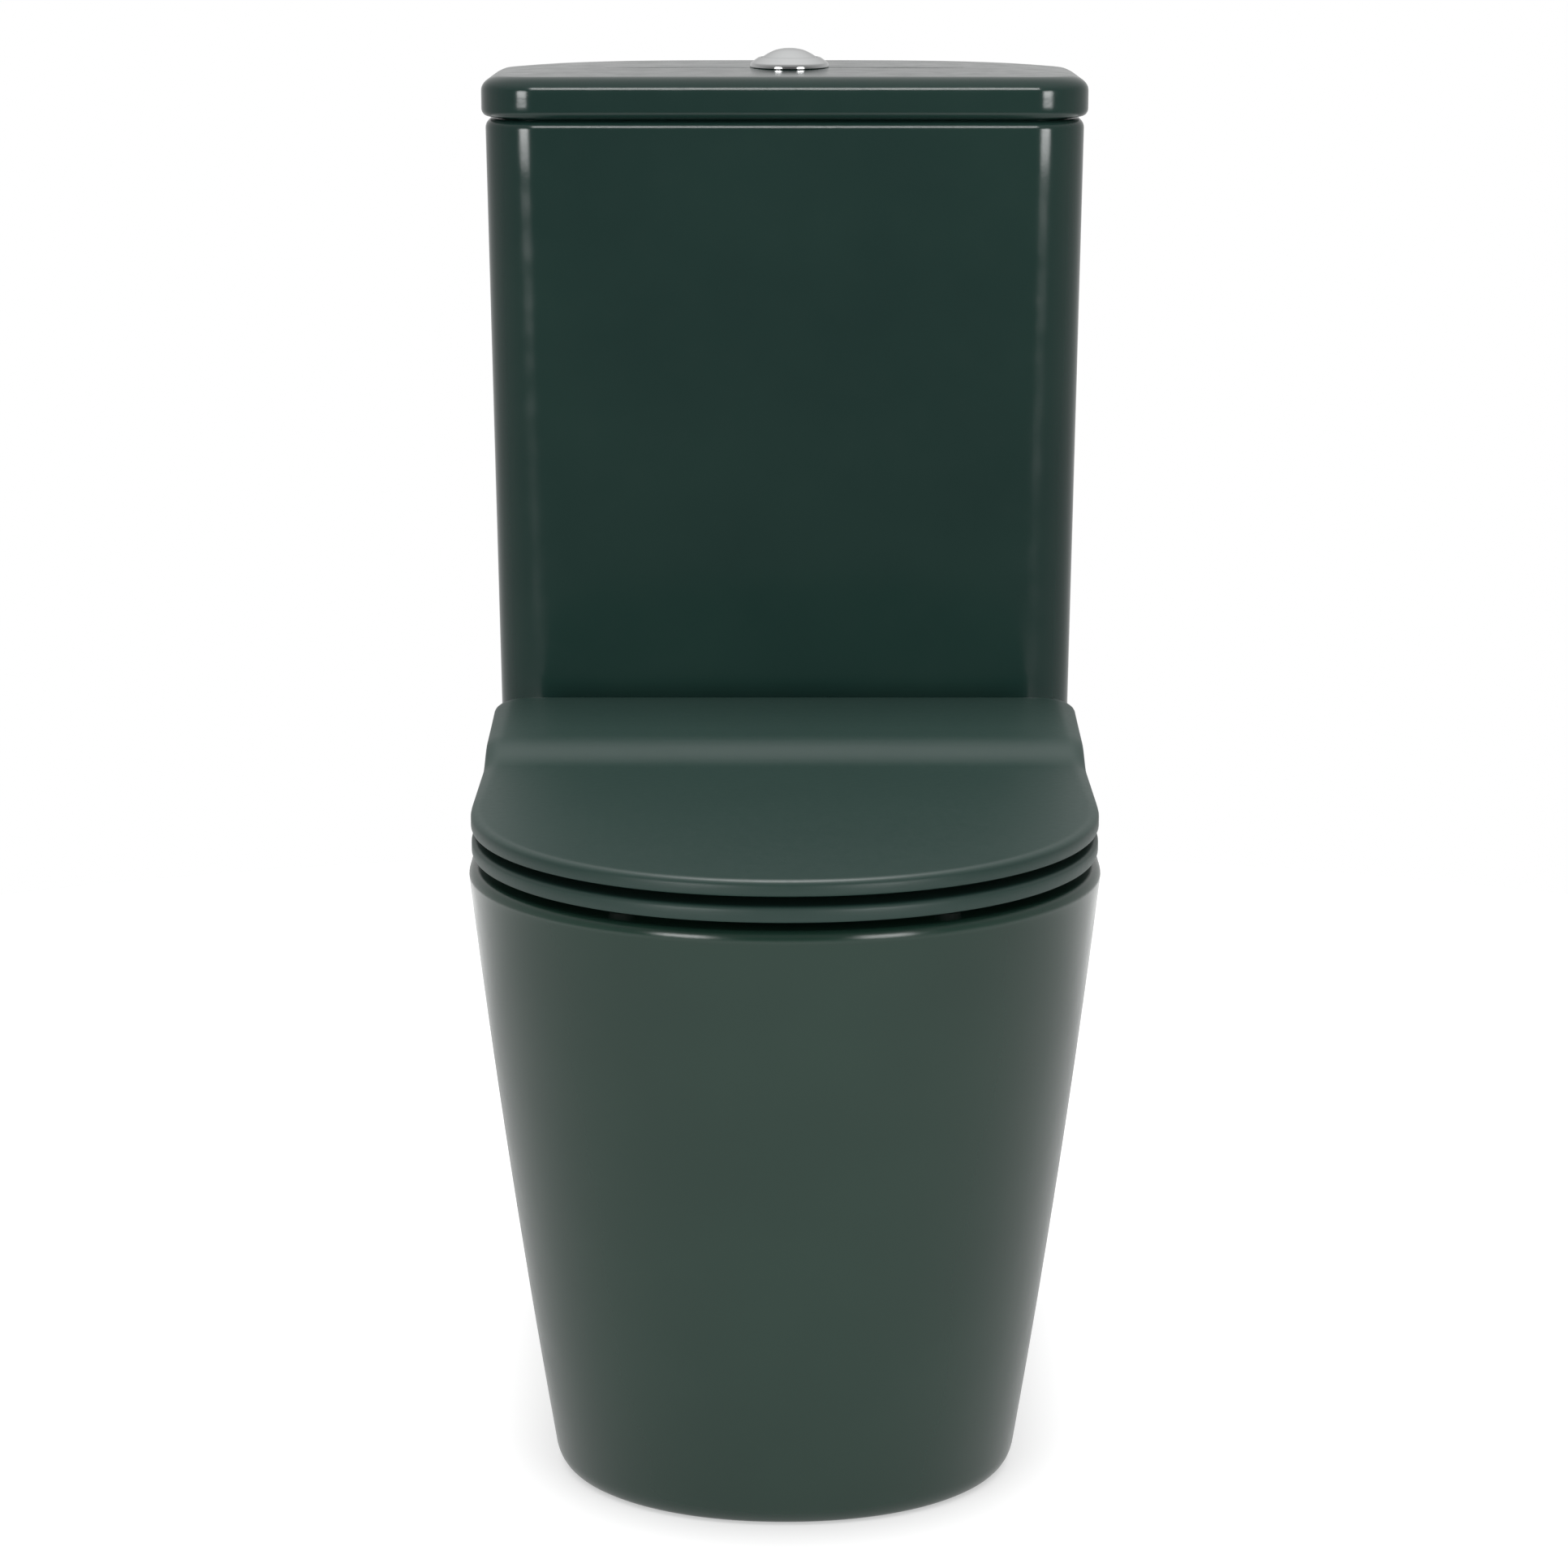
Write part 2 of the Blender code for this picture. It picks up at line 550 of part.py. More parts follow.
# ---------------------------------------------------------------- flush valve
def make_flush_valve():
    axis = (0.0, FLUSH_Y)
    turned("flush_valve_washer", ring_profile(0.0305, 0.0425, 0.4233, 0.4263), axis, RUBBER, 16)
    turned("flush_valve_base", [(0.0280, 0.4360), (0.0280, 0.4320), (0.0440, 0.4320), (0.0440, 0.4266),
                                (0.0295, 0.4266), (0.0295, 0.3860), (0.0235, 0.3860), (0.0235, 0.4360)],
           axis, WHITE, 20)
    turned("flush_valve_backnut", [(0.0400, 0.4110), (0.0430, 0.4080), (0.0430, 0.4035), (0.0304, 0.4035),
                                   (0.0304, 0.4110)], axis, WHITE, 16)

    cage = turned("flush_valve_cage", [(0.0400, 0.6000), (0.0400, 0.4325), (0.0375, 0.4325),
                                       (0.0375, 0.5970), (0.0155, 0.5970), (0.0155, 0.6000)],
                  axis, WHITE, 20)
    for name, low, high in (("window_x", (-0.05, FLUSH_Y - 0.018, 0.437), (0.05, FLUSH_Y + 0.018, 0.472)),
                            ("window_y", (-0.018, FLUSH_Y - 0.05, 0.437), (0.018, FLUSH_Y + 0.05, 0.472))):
        cut(cage, add(name, box_mesh(name, low, high)))
    for side, label in ((-1, "front"), (1, "rear")):
        near, far = sorted((FLUSH_Y + side * 0.0158, FLUSH_Y + side * 0.0190))
        post = box_mesh("rocker_post", (ROCKER_X - 0.003, near, 0.598), (ROCKER_X + 0.003, far, 0.672))
        stub = cylinder_mesh("rocker_stub", (ROCKER_X, FLUSH_Y + side * 0.0105, ROCKER_Z),
                             (ROCKER_X, FLUSH_Y + side * 0.0170, ROCKER_Z), 0.0013, 10)
        join(cage, add("rocker_post_" + label, post), add("rocker_stub_" + label, stub))

    tube = turned("flush_tube", [(0.0145, 0.6220), (0.0145, 0.4430), (0.0290, 0.4430), (0.0290, 0.4400),
                                 (0.0145, 0.4400), (0.0145, 0.4365), (0.0125, 0.4365), (0.0125, 0.6220)],
                  axis, BLUE, 20)
    stem = cylinder_mesh("stem", (0, FLUSH_Y, 0.602), (0, FLUSH_Y, 0.6750), 0.0035, 12)
    rib = box_mesh("stem_rib", (-0.0135, FLUSH_Y - 0.0018, 0.600), (0.0135, FLUSH_Y + 0.0018, 0.608))
    lift_bar = box_mesh("lift_bar", (-0.0320, FLUSH_Y - 0.0025, 0.6722), (0.0, FLUSH_Y + 0.0150, 0.6752))
    join(tube, add("stem_rib", rib), add("stem", stem), add("lift_bar", lift_bar))
    seal = turned("flush_seal", ring_profile(0.0149, 0.0295, 0.4363, 0.4397), axis, RUBBER, 20)
    float_cup = turned("flush_float", [(0.0310, 0.5600), (0.0330, 0.5570), (0.0330, 0.5000),
                                       (0.0310, 0.5000), (0.0310, 0.5570), (0.0170, 0.5570),
                                       (0.0170, 0.5000), (0.0149, 0.5000), (0.0149, 0.5600)],
                       axis, WHITE, 20)
    pivot("flush_tube_slide", (0, FLUSH_Y, 0.44), tube, seal, float_cup)

    for side, label in ((-1, "half"), (1, "full")):
        y = FLUSH_Y + side * 0.0125
        arms = box_mesh("rocker", (ROCKER_X - 0.0230, y - 0.0023, ROCKER_Z - 0.0020),
                        (ROCKER_X + 0.0150, y + 0.0023, ROCKER_Z + 0.0020))
        rocker = add(label + "_flush_rocker", arms, BLUE)
        hub = cylinder_mesh("rocker_hub", (ROCKER_X, y - 0.0023, ROCKER_Z), (ROCKER_X, y + 0.0023, ROCKER_Z),
                            0.0034, 14)
        bore = cylinder_mesh("rocker_bore", (ROCKER_X, y - 0.01, ROCKER_Z), (ROCKER_X, y + 0.01, ROCKER_Z),
                             0.0016, 10)
        join(rocker, add(label + "_rocker_hub", hub))
        cut(rocker, add(label + "_rocker_bore", bore))
        pivot(label + "_rocker_pivot", (ROCKER_X, y, ROCKER_Z), rocker)


# ---------------------------------------------------------------- push button
def make_button():
    centre = (BUTTON_X, FLUSH_Y)
    base = COVER_TOP_Z + COVER_CROWN + TOUCH
    shoulder = base + 0.0066            # top of the bezel at its bore
    bezel = turned("button_bezel", [(BEZEL_BORE_R, shoulder), (0.0200, shoulder - 0.0003),
                                    (0.0230, base + 0.0043), (0.0247, base + 0.0031),
                                    (BEZEL_R, base + 0.0018), (BEZEL_R, base), (0.0198, base),
                                    (0.0198, 0.8120), (0.0, 0.8120), (0.0, 0.8145),
                                    (BEZEL_BORE_R, 0.8145)], centre, CHROME, 32)
    for side, label in ((-1, "half"), (1, "full")):
        x = ROD_OFFSET[0]
        y = FLUSH_Y + side * ROD_OFFSET[1]
        guide = cylinder_mesh("rod_guide", (x, y, 0.805), (x, y, 0.820), 0.0032, 12)
        cut(bezel, add(label + "_rod_guide", guide))
        dome = [(0.0, shoulder + 0.0056), (0.0040, shoulder + 0.0055), (0.0090, shoulder + 0.0044),
                (0.0135, shoulder + 0.0024), (0.0168, shoulder + 0.0004), (BUTTON_R, shoulder - 0.0008),
                (BUTTON_R, 0.8350), (0.0, 0.8350)]
        button = turned(label + "_flush_button", dome, centre, CHROME, 32, bore=False)
        edge = FLUSH_Y + side * 0.00025
        low, high = sorted((edge, edge - side * 0.03))
        cut(button, add(label + "_button_split", box_mesh("split", (-0.03, low, 0.82), (0.04, high, 0.86))))
        rod = add(label + "_flush_rod", cylinder_mesh("rod", (x, y, ROCKER_Z + 0.0052), (x, y, 0.8347),
                                                      0.0025, 12), WHITE)
        coil = [(x + 0.0041 * math.cos(a), y + 0.0041 * math.sin(a), 0.8155 + 0.0180 * a / (8 * math.pi))
                for a in (i * math.pi / 3 for i in range(25))]
        spring = add(label + "_flush_spring", tube_mesh("coil", coil, 0.0005, 1), STEEL)
        pivot(label + "_button_slide", (*centre, shoulder), button, rod, spring)
    turned("button_sleeve_nut", ring_profile(0.0203, 0.0290, 0.8190, 0.8259), centre, WHITE, 24)


# ---------------------------------------------------------------- fill valve
def make_fill_valve():
    place = (FILL_X, FILL_Y)
    turned("fill_valve_washer", ring_profile(0.0110, 0.0185, 0.4233, 0.4263), place, RUBBER, 12)
    body = turned("fill_valve_body", [(0.0, 0.7220), (0.0150, 0.7220), (0.0170, 0.7190), (0.0170, 0.6900),
                                      (0.0115, 0.6860), (0.0115, 0.4320), (0.0195, 0.4320), (0.0195, 0.4266),
                                      (0.0105, 0.4266), (0.0105, 0.3450), (0.0060, 0.3450), (0.0060, 0.6800),
                                      (0.0, 0.6800)], place, WHITE, 16, bore=False)
    lever_x, lever_z = FILL_X - 0.006, 0.7335
    for side, label in ((-1, "front"), (1, "rear")):
        near, far = sorted((FILL_Y + side * 0.0042, FILL_Y + side * 0.0068))
        ear = box_mesh("lever_ear", (lever_x - 0.0035, near, 0.720), (lever_x + 0.0035, far, 0.7370))
        stub = cylinder_mesh("lever_stub", (lever_x, FILL_Y + side * 0.0015, lever_z),
                             (lever_x, FILL_Y + side * 0.0055, lever_z), 0.0013, 10)
        join(body, add("lever_ear_" + label, ear), add("lever_stub_" + label, stub))
    turned("fill_valve_backnut", ring_profile(0.0109, 0.0180, 0.3900, 0.4010), place, WHITE, 16)

    rod_x = FILL_X + 0.024
    float_cup = turned("fill_float", [(0.0290, 0.6650), (0.0320, 0.6620), (0.0320, 0.6000), (0.0300, 0.6000),
                                      (0.0300, 0.6620), (0.0145, 0.6620), (0.0145, 0.6000),
                                      (0.0125, 0.6000), (0.0125, 0.6650)], place, WHITE, 16)
    rod = add("float_link_rod", cylinder_mesh("float_link_rod", (rod_x, FILL_Y, 0.6653),
                                              (rod_x, FILL_Y, 0.7440), 0.0014, 10), WHITE)
    join(rod, add("rod_head", cylinder_mesh("rod_head", (rod_x, FILL_Y, 0.7380), (rod_x, FILL_Y, 0.7430),
                                            0.0028, 10)))
    pivot("fill_float_slide", (FILL_X, FILL_Y, 0.66), float_cup, rod)

    arm = box_mesh("fill_valve_lever", (lever_x - 0.005, FILL_Y - 0.0037, lever_z - 0.0015),
                   (rod_x + 0.007, FILL_Y + 0.0037, lever_z + 0.0015))
    lever = add("fill_valve_lever", arm, BLUE)
    hub = cylinder_mesh("lever_hub", (lever_x, FILL_Y - 0.0037, lever_z),
                        (lever_x, FILL_Y + 0.0037, lever_z), 0.0030, 14)
    fork = box_mesh("lever_fork", (rod_x - 0.005, FILL_Y - 0.0019, lever_z - 0.01),
                    (rod_x + 0.010, FILL_Y + 0.0019, lever_z + 0.01))
    bore = cylinder_mesh("lever_bore", (lever_x, FILL_Y - 0.01, lever_z), (lever_x, FILL_Y + 0.01, lever_z),
                         0.0016, 10)
    join(lever, add("lever_hub", hub))
    cut(lever, add("lever_fork", fork), add("lever_bore", bore))
    pivot("fill_lever_pivot", (lever_x, FILL_Y, lever_z), lever)


# ---------------------------------------------------------------- seat
def lid_top(y):
    """Height of the lid's middle: level in front, then a soft step and a slope up over the hinges."""
    front = 0.0015 * min(1.0, (y - SEAT_NOSE_Y) / 0.20)
    step = min(1.0, max(0.0, (y - LID_STEP_Y) / LID_STEP_RUN))
    slope = max(0.0, (y - LID_STEP_Y) / (LID_BACK_Y - LID_STEP_Y))
    rise = LID_RISE - 0.0015 - LID_STEP
    return LID_FRONT_Z + front + LID_STEP * step * step * (3 - 2 * step) + rise * slope ** 1.3


def seat_outline(inset, back_y, corner):
    return d_outline(SEAT_HALF - inset, SEAT_NOSE_Y + inset, SEAT_NOSE_Y + SEAT_ROUND, back_y - inset,
                     max(corner - inset, 0.005))


def make_seat_lid():
    def top_ring(inset, drop):
        """A ring of the upper skin. The shoulder's drop grows towards the raised back."""
        ring = []
        for x, y in seat_outline(inset, LID_BACK_Y, 0.022):
            swell = 1.0 + 1.2 * max(0.0, (y - SEAT_NOSE_Y - 0.20) / 0.23)
            ring.append((x, y, lid_top(y) - drop * swell))
        return ring

    def under_ring(inset, skin):
        return [(x, y, max(lid_top(y) - skin, LID_UNDER_Z + 0.0035)) for x, y in
                seat_outline(inset, LID_BACK_Y, 0.022)]

    rings = [under_ring(0.130, LID_SKIN), under_ring(0.080, LID_SKIN), under_ring(0.035, LID_SKIN),
             under_ring(0.0085, LID_SKIN + 0.002),
             lift(seat_outline(0.0055, LID_BACK_Y, 0.022), LID_UNDER_Z + 0.001),
             lift(seat_outline(0.0015, LID_BACK_Y, 0.022), LID_UNDER_Z),
             lift(seat_outline(0.0, LID_BACK_Y, 0.022), LID_UNDER_Z + 0.0015),
             top_ring(0.0, 0.0036), top_ring(0.0012, 0.0014), top_ring(0.0045, 0.0002),
             top_ring(0.035, 0.0), top_ring(0.080, 0.0), top_ring(0.130, 0.0)]
    lid = add("seat_lid", loft("seat_lid", rings), SEAT, 40)
    for side, label in ((-1, "left"), (1, "right")):
        near, far = side * 0.0255, side * 0.0705
        barrel = cylinder_mesh("lid_barrel", (near, HINGE_Y, HINGE_Z), (far, HINGE_Y, HINGE_Z), 0.0105, 16)
        low, high = sorted((side * 0.0300, side * 0.0660))
        web = box_mesh("lid_web", (low, HINGE_Y - 0.0045, HINGE_Z + 0.002),
                       (high, HINGE_Y + 0.0045, lid_top(HINGE_Y) - 0.0015))
        low, high = sorted((side * 0.0635, side * 0.0915))
        notch = box_mesh("lid_notch", (low, LID_BACK_Y - 0.012, 0.410), (high, LID_BACK_Y + 0.01, 0.4395))
        bore = cylinder_mesh("lid_bore", (side * 0.020, HINGE_Y, HINGE_Z), (side * 0.080, HINGE_Y, HINGE_Z),
                             0.0078, 16)
        join(lid, add("lid_barrel_" + label, barrel), add("lid_web_" + label, web))
        cut(lid, add("lid_notch_" + label, notch), add("lid_bore_" + label, bore))
    return lid


def make_seat_ring():
    outer = d_outline(SEAT_HALF - 0.0003, SEAT_NOSE_Y + 0.0008, SEAT_NOSE_Y + SEAT_ROUND, RING_BACK_Y, 0.030)
    centre_y = RING_HOLE[2]
    inner = [oval_point(*RING_HOLE, math.atan2(-x, y - centre_y)) for x, y in outer]
    top, under = RING_TOP_Z, RING_UNDER_Z
    # inset from the outer edge or from the opening, and height, once round the section
    section = [("out", 0.0014, under), ("out", 0.0, under + 0.0016), ("out", 0.0, top - 0.0022),
               ("out", 0.0022, top), ("in", 0.0100, top), ("in", 0.0030, top - 0.0012),
               ("in", 0.0, top - 0.0045), ("in", 0.0018, under)]
    rings = []
    for edge, inset, z in section:
        ring = []
        for o, i in zip(outer, inner):
            o, i = Vector(o), Vector(i)
            across = (i - o).normalized() * inset
            point = o + across if edge == "out" else i - across
            ring.append((point.x, point.y, z))
        rings.append(ring)
    ring = add("seat_ring", loft("seat_ring", rings, closed_ring=True), SEAT, 40)
    for side, label in ((-1, "left"), (1, "right")):
        near, far = side * 0.0845, side * 0.1295
        barrel = cylinder_mesh("ring_barrel", (near, HINGE_Y, HINGE_Z), (far, HINGE_Y, HINGE_Z), 0.0105, 16)
        low, high = sorted((side * 0.0870, side * 0.1270))
        profile = [(HINGE_Y - 0.0040, HINGE_Z - 0.0092), (HINGE_Y - 0.0092, HINGE_Z - 0.0020),
                   (RING_BACK_Y - 0.006, top - 0.0008), (RING_BACK_Y - 0.006, under + 0.0008),
                   (RING_BACK_Y - 0.001, under + 0.0008)]
        arm = prism_mesh("ring_arm", profile, low, high)
        bore = cylinder_mesh("ring_bore", (side * 0.080, HINGE_Y, HINGE_Z), (side * 0.140, HINGE_Y, HINGE_Z),
                             0.0078, 16)
        join(ring, add("ring_arm_" + label, arm), add("ring_barrel_" + label, barrel))
        cut(ring, add("ring_bore_" + label, bore))
    return ring


def make_cartridge(name, near, far, material):
    """A damper or a bush: a short round cartridge on the hinge line with a blind hole for the pin."""
    cartridge = add(name, cylinder_mesh(name, (near, HINGE_Y, HINGE_Z), (far, HINGE_Y, HINGE_Z),
                                        0.0075, 14), material)
    side = 1 if near > 0 else -1
    pin_reach = (0.050, 0.105)      # a little past the pin's own ends
    hole = cylinder_mesh(name + "_hole", (side * pin_reach[0], HINGE_Y, HINGE_Z),
                         (side * pin_reach[1], HINGE_Y, HINGE_Z), BORE_R, 12)
    cut(cartridge, add(name + "_hole", hole))
    return cartridge


def make_seat():
    lid = make_seat_lid()
    ring = make_seat_ring()
    lid_riders = [lid, make_cartridge("lid_damper", 0.0265, 0.0700, WHITE),
                  make_cartridge("lid_bush", -0.0265, -0.0700, WHITE)]
    ring_riders = [ring, make_cartridge("ring_damper", -0.0850, -0.1285, WHITE),
                   make_cartridge("ring_bush", 0.0850, 0.1285, WHITE)]
    for side, label in ((-1, "left"), (1, "right")):
        for place, y, x in (("front", -0.250, 0.092), ("rear", 0.020, 0.150)):
            name = "ring_buffer_" + place + "_" + label
            ring_riders.append(turned(name, [(0.0, RING_UNDER_Z - TOUCH), (0.0075, RING_UNDER_Z - TOUCH),
                                             (0.0065, RIM_Z + TOUCH), (0.0, RIM_Z + TOUCH)],
                                      (side * x, y), RUBBER, 12, bore=False))
        name = "lid_buffer_" + label
        lid_riders.append(turned(name, [(0.0, LID_UNDER_Z + 0.0032), (0.0050, LID_UNDER_Z + 0.0032),
                                        (0.0045, RING_TOP_Z + TOUCH), (0.0, RING_TOP_Z + TOUCH)],
                                 (side * 0.126, -0.190), RUBBER, 12, bore=False))

        post = turned("hinge_post_" + label, [(0.0, HINGE_Z), (0.0062, HINGE_Z), (0.0062, 0.4045),
                                              (0.0115, 0.4020), (0.0125, 0.4000), (0.0125, RIM_Z + TOUCH),
                                              (0.0, RIM_Z + TOUCH)], (side * HINGE_X, HINGE_Y), CHROME, 16,
                      bore=False)
        boss = cylinder_mesh("post_boss", (side * HINGE_X - 0.0060, HINGE_Y, HINGE_Z),
                             (side * HINGE_X + 0.0060, HINGE_Y, HINGE_Z), 0.0092, 16)
        bore = cylinder_mesh("post_bore", (side * HINGE_X - 0.02, HINGE_Y, HINGE_Z),
                             (side * HINGE_X + 0.02, HINGE_Y, HINGE_Z), BORE_R, 12)
        thread = cylinder_mesh("post_thread", (side * HINGE_X, HINGE_Y, 0.390),
                               (side * HINGE_X, HINGE_Y, 0.4130), 0.0031, 12)
        join(post, add("post_boss_" + label, boss))
        cut(post, add("post_bore_" + label, bore), add("post_thread_" + label, thread))
        add("hinge_pin_" + label, cylinder_mesh("hinge_pin", (side * 0.0505, HINGE_Y, HINGE_Z),
                                                (side * 0.1045, HINGE_Y, HINGE_Z), PIN_R, 12), STEEL)
        place = (side * HINGE_X, HINGE_Y)
        bolt = add("hinge_bolt_" + label, cylinder_mesh("hinge_bolt", (*place, 0.3500), (*place, 0.4120),
                                                        0.0028, 12), STEEL)
        join(bolt, add("hinge_bolt_head_" + label, cylinder_mesh("hinge_bolt_head", (*place, 0.3490),
                                                                 (*place, 0.3530), 0.0055, 6)))
        turned("hinge_plug_" + label, [(0.0068, RIM_Z - 0.0010), (0.0068, DECK_UNDER_Z + 0.0005),
                                       (0.0100, 0.3760), (0.0100, 0.3620), (0.0065, 0.3540),
                                       (0.0031, 0.3540), (0.0031, RIM_Z - 0.0010)], place, RUBBER, 12)
    pivot("seat_ring_pivot", (0, HINGE_Y, HINGE_Z), *ring_riders)
    pivot("seat_lid_pivot", (0, HINGE_Y, HINGE_Z), *lid_riders)


make_pan()
make_floor_fixings()
make_cistern()
make_cistern_lid()
make_couplings()
make_flush_valve()
make_button()
make_fill_valve()
make_seat()
bpy.context.view_layer.update()
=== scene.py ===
"""The looks of a close coupled toilet in dark green glaze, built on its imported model.

The china, the seat with its posts and buffers, and the button with its springs are made again as fine meshes,
on the sizes of the model's own nodes. The other fittings keep their nodes, and every piece has its material.
"""

import json
import math

import bmesh
import bpy
from mathutils import Matrix, Vector


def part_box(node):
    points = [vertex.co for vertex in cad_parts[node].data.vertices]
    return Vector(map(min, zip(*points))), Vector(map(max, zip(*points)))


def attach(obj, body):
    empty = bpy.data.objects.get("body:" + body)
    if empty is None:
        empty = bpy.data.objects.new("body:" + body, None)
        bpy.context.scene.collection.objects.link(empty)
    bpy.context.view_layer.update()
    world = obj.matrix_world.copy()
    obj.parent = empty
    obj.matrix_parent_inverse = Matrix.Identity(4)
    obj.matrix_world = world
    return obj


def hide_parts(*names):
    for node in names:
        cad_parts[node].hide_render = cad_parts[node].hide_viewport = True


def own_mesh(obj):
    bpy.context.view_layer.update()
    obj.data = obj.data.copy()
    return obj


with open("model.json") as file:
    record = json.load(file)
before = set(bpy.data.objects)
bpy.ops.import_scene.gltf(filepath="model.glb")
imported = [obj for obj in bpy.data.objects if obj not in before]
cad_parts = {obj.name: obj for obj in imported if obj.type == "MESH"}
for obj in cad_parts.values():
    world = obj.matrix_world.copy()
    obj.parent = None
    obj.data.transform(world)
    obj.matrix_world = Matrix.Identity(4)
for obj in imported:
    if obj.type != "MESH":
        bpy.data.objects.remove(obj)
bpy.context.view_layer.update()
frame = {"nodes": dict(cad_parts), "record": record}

# ---------------------------------------------------------------- sizes, in metres
PAN_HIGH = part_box("pan")[1]
TANK_LOW, TANK_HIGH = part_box("cistern")
COVER_LOW, COVER_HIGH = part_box("cistern_lid")
LID_LOW, LID_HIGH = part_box("seat_lid")
RING_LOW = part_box("seat_ring")[0]
BEZEL_LOW, BEZEL_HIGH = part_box("button_bezel")
POST_LOW, POST_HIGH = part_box("hinge_post_right")

RIM_Z = PAN_HIGH.z
WALL_Y = PAN_HIGH.y
RIM_HALF = 0.1862               # the pan's side and front profiles start from these at the rim
RIM_NOSE_Y = -0.3015
SIDE_TAPER = (0.036, 0.0100)    # lost towards the floor: linear and bulging share
NOSE_TAPER = (0.100, 0.0305)
RIM_WIDEST_Y, FOOT_WIDEST_Y = -0.1195, -0.040
PAN_BACK_CORNER = 0.004
RIM_ROUND = (0.0060, 0.0076)    # width and height of the rounding; the same in each ROUND and LIP below
FOOT_ROUND = (0.0065, 0.0120)
SHELL, FOOT_SHELL = 0.011, 0.016
DECK_UNDER_Z = 0.380
BOWL_LIP_WIDTH = 0.0085
OUTLET_Z, OUTLET_R = 0.180, 0.051

SEAT_HALF = LID_HIGH.x
SEAT_NOSE_Y = LID_LOW.y
SEAT_ROUND = 0.190
LID_BACK_Y = LID_HIGH.y
LID_UNDER_Z = 0.4192
LID_FRONT_Z = 0.4285
LID_RISE = 0.0199
LID_STEP = 0.0085               # a soft step in the lid in front of the hinges
LID_STEP_Y, LID_STEP_RUN = -0.016, 0.039
LID_SKIN = 0.0042
LID_CORNER = 0.022
RING_TOP_Z, RING_UNDER_Z = 0.4136, RING_LOW.z
RING_BACK_Y = 0.0755
RING_HOLE = (0.107, 0.140, -0.105)      # half-width, half-length and centre in y
RING_OUTER_ROUND, RING_INNER_ROUND = (0.0028, 0.0026), (0.0130, 0.0050)

TANK_HALF = (0.1843, TANK_HIGH.x)
TANK_FRONT_Y = (0.1552, TANK_LOW.y)
TANK_WALL = 0.010
TANK_FLOOR_Z = 0.423
TANK_CORNER, TANK_INNER_CORNER, TANK_BACK_CORNER = 0.035, 0.024, 0.014
TANK_LIP, TANK_INNER_LIP = (0.0054, 0.0062), (0.0025, 0.0030)
TANK_FOOT_ROUND, TANK_FLOOR_ROUND = (0.0072, 0.0140), (0.0120, 0.0120)

COVER_HALF = COVER_HIGH.x
COVER_UNDER_Z = 0.8100
COVER_TOP_Z = 0.8357
COVER_CROWN = 0.0013
COVER_RISE, COVER_FALL = 0.0026, 0.0059
COVER_CORNER, COVER_BACK_CORNER = 0.037, 0.016
COVER_LIP, COVER_ROUND = (0.0040, 0.0048), (0.0120, 0.0097)

FLUSH_Y = 0.233
FILL_X, FILL_Y = -0.135, 0.235
HINGE_X = (POST_LOW.x + POST_HIGH.x) / 2
HINGE_Y = (POST_LOW.y + POST_HIGH.y) / 2
HINGE_Z = 0.4275
BARREL_R, BARREL_BORE_R = 0.0105, 0.0078
BOLT_X, BOLT_HOLE_R = 0.0775, 0.006
BUTTON_X = (BEZEL_LOW.x + BEZEL_HIGH.x) / 2
BUTTON_HALF_GAP = 0.00025
SPRING_R, SPRING_WIRE_R = 0.0041, 0.0005
SPRING_TURNS, SPRING_STEPS = 4, 24      # turns of the coil, and steps in each
SEAT_NODES = ("seat_lid", "seat_ring")
BUTTON_NODES = ("button_bezel", "full_flush_button", "half_flush_button")

NOSE_STEPS = 72
SIDE_STEPS = 44
CORNER_STEPS = 8
OVAL_STEPS = 128
TURN_STEPS = 96
SHARP_DEGREES = 38              # edges sharper than this stay hard
FLOOR_RADIUS = 1.6
FLOOR_TONE = 0.42
BOUNCE_GLOW_PAINTED_SHADE = (0.35, 0.90)       # the glow the pieces get back from the white floor, near the foot and further out: painted shade, dimmer near the foot
CAMERA_GLOW_PAINTED_SHADOW = (0.44, 0.88)      # the glow a camera sees of it, in the painted contact shadow and clear of it
# how far the painted contact shadow reaches: ambient occlusion cuts the floor's glow within it
PAINTED_SHADOW_REACH = 0.055
CAMERA_PLACE, CAMERA_LENS, CAMERA_TILT = (-0.0005, -2.73, 1.0092), 104.5, 12.27


# ---------------------------------------------------------------- outlines
def arc(cx, cy, radius, start, end, steps):
    angles = [math.radians(start + (end - start) * i / steps) for i in range(steps + 1)]
    return [(cx + radius * math.cos(a), cy + radius * math.sin(a)) for a in angles]


def line(start, end, steps):
    """The points between two ends, without them."""
    return [tuple(a + (b - a) * i / steps for a, b in zip(start, end)) for i in range(1, steps)]


def d_outline(half, nose_y, widest_y, back_y, corner, power=2.08):
    """A rounded front, straight sides and a square back, from the middle of the back, anticlockwise."""
    nose = []
    for i in range(NOSE_STEPS + 1):
        angle = math.pi * i / NOSE_STEPS
        c, s = math.cos(angle), math.sin(angle)
        x = -half * math.copysign(abs(c) ** (2 / power), c)
        nose.append((x, widest_y - (widest_y - nose_y) * s ** (2 / power)))
    turn_y = back_y - corner
    left, right = -half + corner, half - corner
    return ([(0.0, back_y)] + line((0.0, back_y), (left, back_y), 6)
            + arc(left, turn_y, corner, 90, 180, CORNER_STEPS)
            + line((-half, turn_y), (-half, widest_y), SIDE_STEPS) + nose
            + line((half, widest_y), (half, turn_y), SIDE_STEPS)
            + arc(right, turn_y, corner, 0, 90, CORNER_STEPS)
            + line((right, back_y), (0.0, back_y), 6))


def oval_point(half_width, half_length, centre_y, angle, power=2.1):
    """The point of an oval in one direction from its centre, measured from +Y, anticlockwise."""
    s, c = math.sin(angle), math.cos(angle)
    radius = (abs(s / half_width) ** power + abs(c / half_length) ** power) ** (-1 / power)
    return (-radius * s, centre_y + radius * c)


